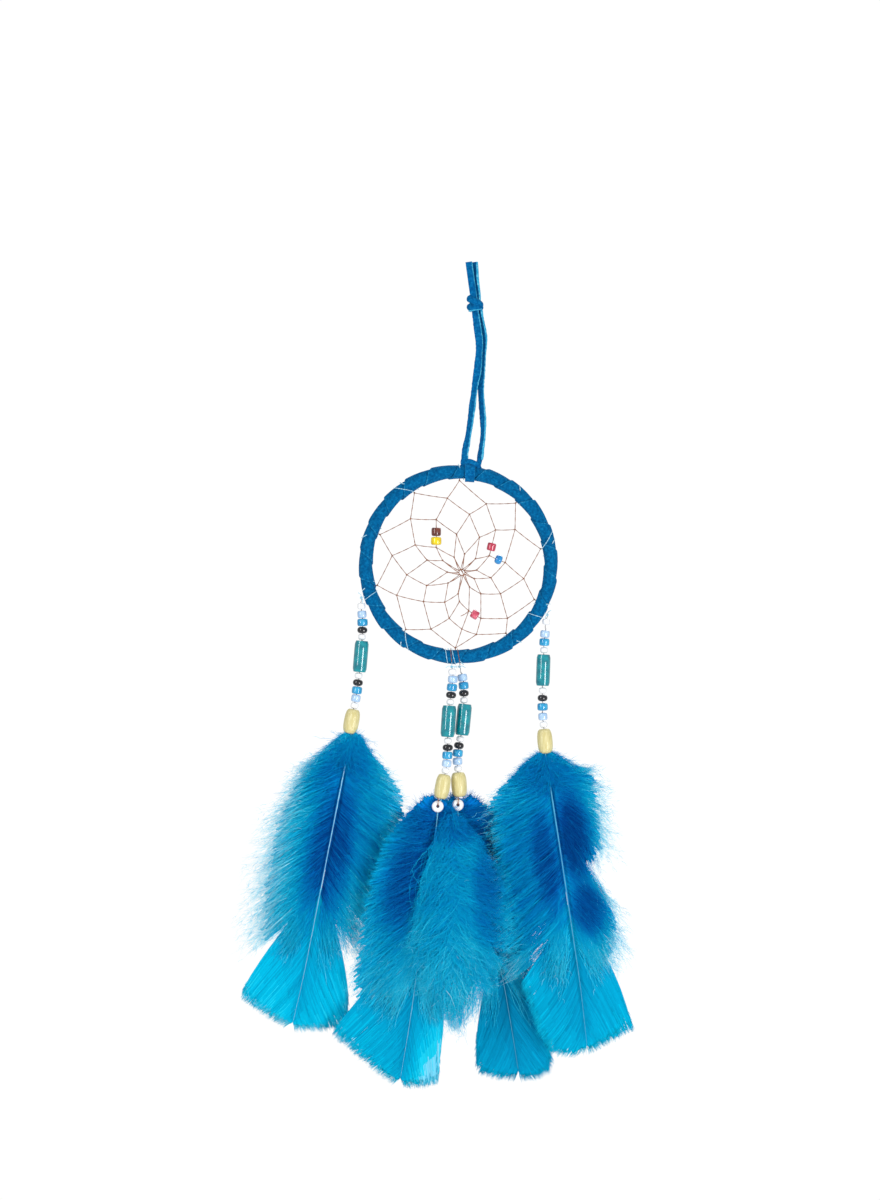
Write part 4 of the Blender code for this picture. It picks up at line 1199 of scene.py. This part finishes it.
    def grow_barbules(self, strands, path, lift, number, length):
        """Short hairs off the fluff's own barbs."""
        rng = self.rng
        which = rng.integers(0, len(path), number)
        at = rng.uniform(0.25, 1.0, number) * (path.shape[1] - 1.001)
        k = at.astype(int)
        part = (at - k)[:, None]
        root = path[which, k] * (1 - part) + path[which, k + 1] * part
        height = lift[which, k] * (1 - part[:, 0]) + lift[which, k + 1] * part[:, 0]
        along = path[which, k + 1] - path[which, k]
        along /= np.linalg.norm(along, axis=1, keepdims=True) + 1e-9
        lean = turned(along, np.radians(rng.uniform(25, 60, number)) * rng.choice((-1, 1), number))
        size = length * rng.uniform(0.5, 1.3, (number, 1))
        tip = root + (lean + along * 0.8) * size * 0.7
        mid = root + lean * size * 0.5
        hair = np.stack([root, mid, tip], axis=1)
        t = np.linspace(0, 1, 3)[None]
        rise = height[:, None] + rng.normal(0, 0.5, (number, 1)) * t
        shade = 8.4 - 7.0 * self.painted_shade(hair[:, 1:, 0], hair[:, 1:, 1]) + rng.normal(0, 0.9, (number, 1))
        # painted light: barbules near the ends of the barbs are made paler by the edge amount
        shade = shade + 1.8 * self.plan["edge"][self.side] * (at / path.shape[1] > 0.82)[:, None]
        strands.add(self.to_space(hair, rise), np.array([[0.06, 0.05, 0.02]]), 0.04, shade)

    def grow_overlap(self, strands, side, number=340, steps=9):
        """Soft barbs that run from the end of the fluff down over the flat tip."""
        rng = self.rng
        u = rng.uniform(0, 1, number)
        first = self.plan["down_shaft"][1]
        start = point_on(self.line, first - 0.12 + 0.2 * u + rng.normal(0, 0.02, number))
        start = start + np.abs(rng.normal(0, 1, start.shape)) * (1.6 * side, -2.0) + (0.9 * side, 0)
        lean = self.leans(start, side, rng.uniform(14, 52, number))
        end = start + lean * rng.uniform(13, 30, (number, 1)) * (1.15 - 0.5 * u[:, None])
        end = end + (self.line[-1] - self.line[-8]) * 0.6
        path = self.bend(start, end, lean, steps, 1.5 * rng.uniform(0.3, 1.0, (number, 1)), 1.0)
        t = np.linspace(0, 1, steps)[None]
        lift = -rng.uniform(0.3, 1.6, (number, 1)) * np.sin(t * math.pi * 0.75)
        shade = self.shade_of(path, 8.6, 6.0) + rng.normal(0, 0.6, (number, 1))
        strands.add(self.to_space(path, lift), 0.13 * (1.1 - 0.9 * t), 0.08, shade)
        self.grow_barbules(strands, path, lift, number * 3, 2.4)

    def grow_fan(self, strands, side, number=190, steps=9):
        rng = self.rng
        u = np.linspace(0, 1, number)
        first, last = self.plan["fan_shaft"]
        start = point_on(self.line, first + (last - first) * u)
        target = point_on(self.plan["fan"][side], np.clip(u + 0.004 * np.sin(u * 60), 0, 1))
        reach = 1 - 0.03 * rng.random((number, 1)) - 0.05 * (rng.random((number, 1)) < 0.08)
        for slit, cut in self.plan.get("slits", {}).get(side, ()):
            reach = reach - cut * np.clip(1 - np.abs(u - slit) / 0.022, 0, 1)[:, None]
        end = start + (target - start) * reach
        lean = self.leans(start, side, 34 - 22 * u)
        path = self.bend(start, end, lean, steps, 0.12, 0.5)
        t = np.linspace(0, 1, steps)[None]
        lift = 0.2 * np.sin(u * 30)[:, None] * t + rng.uniform(-0.07, 0.07, (number, 1))
        gap = np.linalg.norm(np.diff(target, axis=0), axis=1)
        wide = np.clip(np.append(gap, gap[-1:])[:, None] * 2.5, 0.6, 2.1)
        taper = (0.4 + (wide - 0.4) * t) * np.clip(1.0 - 1.6 * np.clip(t - 0.86, 0, 1) * 4, 0.15, 1)
        shade = self.plan["fan_shade"] + 0.4 - 1.9 * (1 - t[:, 1:]) + rng.normal(0, 0.35, (number, 1))
        # painted light: the flat tip's outer corner turns paler, as light comes through its thin barbs
        pale = self.plan.get("pale_corner", {}).get(side, 0.0)
        shade = shade + pale * np.clip(1.5 - abs(u - 0.3) * 2.6, 0, 1)[:, None] * t[:, 1:] ** 1.5
        strands.add(self.to_space(path, lift), taper / 2, 0.08, shade, sides=4, fan=True)
        self.fray(strands, path, lift)

    def fray(self, strands, path, lift, each=3):
        """Fine pale hairs past the ends of the flat tip's barbs, paler with painted light coming through
        them.
        """
        rng = self.rng
        for _ in range(each):
            root = path[:, -2] * 0.6 + path[:, -1] * 0.4
            along = path[:, -1] - path[:, -3]
            along /= np.linalg.norm(along, axis=1, keepdims=True)
            aside = np.stack([-along[:, 1], along[:, 0]], axis=1)
            root = root + aside * rng.normal(0, 0.25, (len(root), 1))
            tip = root + along * rng.uniform(1.5, 4.2, (len(root), 1))
            tip = tip + aside * rng.normal(0, 0.35, (len(root), 1))
            hair = np.stack([root, (root + tip) / 2, tip], axis=1)
            # painted light: the hairs are up to 2.5 shades paler than the tip
            shade = self.plan["fan_shade"] + rng.uniform(0.0, 2.5, (len(root), 1))
            strands.add(self.to_space(hair, lift[:, -1:]), np.array([[0.09, 0.07, 0.02]]), 0.05, shade,
                        fan=True)

    def grow_tuft(self, strands, number=260):
        """Loose fluff that covers the first stretch of the shaft in front."""
        rng = self.rng
        start = point_on(self.line, rng.uniform(0.0, 0.06, number))
        angle = rng.normal(0, 32, number)
        lean = self.leans(start, 1, angle)
        end = start + lean * rng.uniform(5, 14, (number, 1))
        path = self.bend(start, end, lean, 7, 1.6 * rng.uniform(0.3, 1.0, (number, 1)), 1.0)
        t = np.linspace(0, 1, 7)[None]
        lift = -rng.uniform(0.8, 2.6, (number, 1)) * np.sin(t * math.pi * 0.7)
        shade = self.shade_of(path, 8.3, 6.5) + rng.normal(0, 0.8, (number, 1))
        strands.add(self.to_space(path, lift), 0.11 * (1.1 - 0.8 * t), 0.08, shade)
        self.grow_barbules(strands, path, lift, number * 4, 2.2)

    def grow_shaft(self, builder):
        line = self.line[::3]
        t = np.linspace(0, 1, len(line))
        radius = 0.27 * (1 - t) ** 0.9 + 0.07
        raised = self.plan.get("shaft_raised", 0.25) * np.clip(4 * t, 0.2, 1)
        path = np.stack([line[:, 0], self.depth(line[:, 1]) - raised, line[:, 1]], axis=1)
        sweep(builder, path * MM, circle(1.0, 8), slot=len(FEATHER_SHADES), scale=radius * MM)


def inner(rng, number):
    """Barbs that end anywhere inside the outline, most of them well out."""
    return 0.3 + 0.7 * rng.random(number) ** 0.6


def wispy(rng, number):
    """Long loose barbs that stand out past the outline."""
    return rng.uniform(1.02, 1.34, number)


def outer(rng, number):
    """Barbs that end at the outline or a little past it."""
    return rng.uniform(0.86, 1.14, number)


# each layer of fluff: the builder it joins, its barbs, where they end, width, front and back lift, wave,
# its barbules and their length
FLUFF = (
    ("front", 750, inner, 0.24, (-2.6, -0.2), 1.3, 2600, 2.6),
    ("edge", 420, outer, 0.17, (-1.8, 0.4), 1.8, 2200, 2.4),
    ("back", 600, inner, 0.26, (0.2, 2.6), 1.3, 1500, 2.6),
    ("back", 300, outer, 0.17, (-0.4, 1.8), 1.8, 0, 0.0),
)
WISPS, WISP_BARBULES = 170, 700     # on a side whose plan says 1


def grow_fluff(feather, front, edge, back, share=1.0):
    """Fluff to both sides: dense short barbs and sparse long ones, in front of the blade and behind it."""
    builders = {"front": front, "edge": edge, "back": back}
    for side in (-1, 1):
        for place, barbs, reach, width, layer, wave, hairs, length in FLUFF:
            path, lift = feather.grow_down(builders[place], side, int(barbs * share), reach, width, layer,
                                           wave)
            if hairs:
                feather.grow_barbules(builders[place], path, lift, int(hairs * share), length)
        wisps = feather.plan.get("wisps", {}).get(side, 0.5)
        path, lift = feather.grow_down(back, side, int(WISPS * wisps) + 1, wispy, 0.15, (-1.6, 1.2), 3.4)
        feather.grow_barbules(back, path, lift, int(WISP_BARBULES * wisps), 2.2)


def make_feather(name):
    low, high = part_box(name + "_wood_bead")
    centre = (low + high) / 2 / MM
    feather = Feather(FEATHERS[name], (centre[0], low[2] / MM + 1.0), centre[1], 11 + SIDES.index(name))
    shaft = Builder()
    feather.grow_shaft(shaft)
    vane, front, edge, back = (Strands() for _ in range(4))
    for side in (-1, 1):
        feather.grow_fan(vane, side)
        feather.grow_base(vane, side)
        feather.grow_overlap(edge, side)
    grow_fluff(feather, front, edge, back)
    if not name.startswith("mid"):
        feather.grow_tuft(front)
    body = name + "_feather"
    finish_piece(shaft.make(name + "_feather_shaft", DYE_AND_LIGHT_MATS), body, "dyed_feather", body)
    finish_piece(vane.make(name + "_feather_vane", DYE_AND_LIGHT_MATS), body, "dyed_feather")
    finish_piece(front.make(name + "_feather_down_front", DYE_AND_LIGHT_MATS), body, "dyed_feather")
    finish_piece(edge.make(name + "_feather_down_edge", DYE_AND_LIGHT_MATS), body, "dyed_feather")
    finish_piece(back.make(name + "_feather_down_back", DYE_AND_LIGHT_MATS), body, "dyed_feather")


def make_plume():
    low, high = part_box("mid_left_quill_bead")
    feather = Feather(PLUME, (-13.4, low[2] / MM - 1.5), (low[1] + high[1]) / 2 / MM, 21)
    base, front, edge, back = (Strands() for _ in range(4))
    for side in (-1, 1):
        feather.grow_base(base, side)
    grow_fluff(feather, front, edge, back, 0.8)
    for part, strands in (("base", base), ("front", front), ("edge", edge), ("back", back)):
        finish_piece(strands.make("front_plume_" + part, DYE_AND_LIGHT_MATS), "mid_left_feather", "dyed_feather")


make_studio()
MATS = make_materials()
DYE_AND_LIGHT_MATS = feather_materials()
make_lace()
make_hoop()
make_web()
for side_name in SIDES:
    make_string(side_name)
    make_feather(side_name)
make_plume()
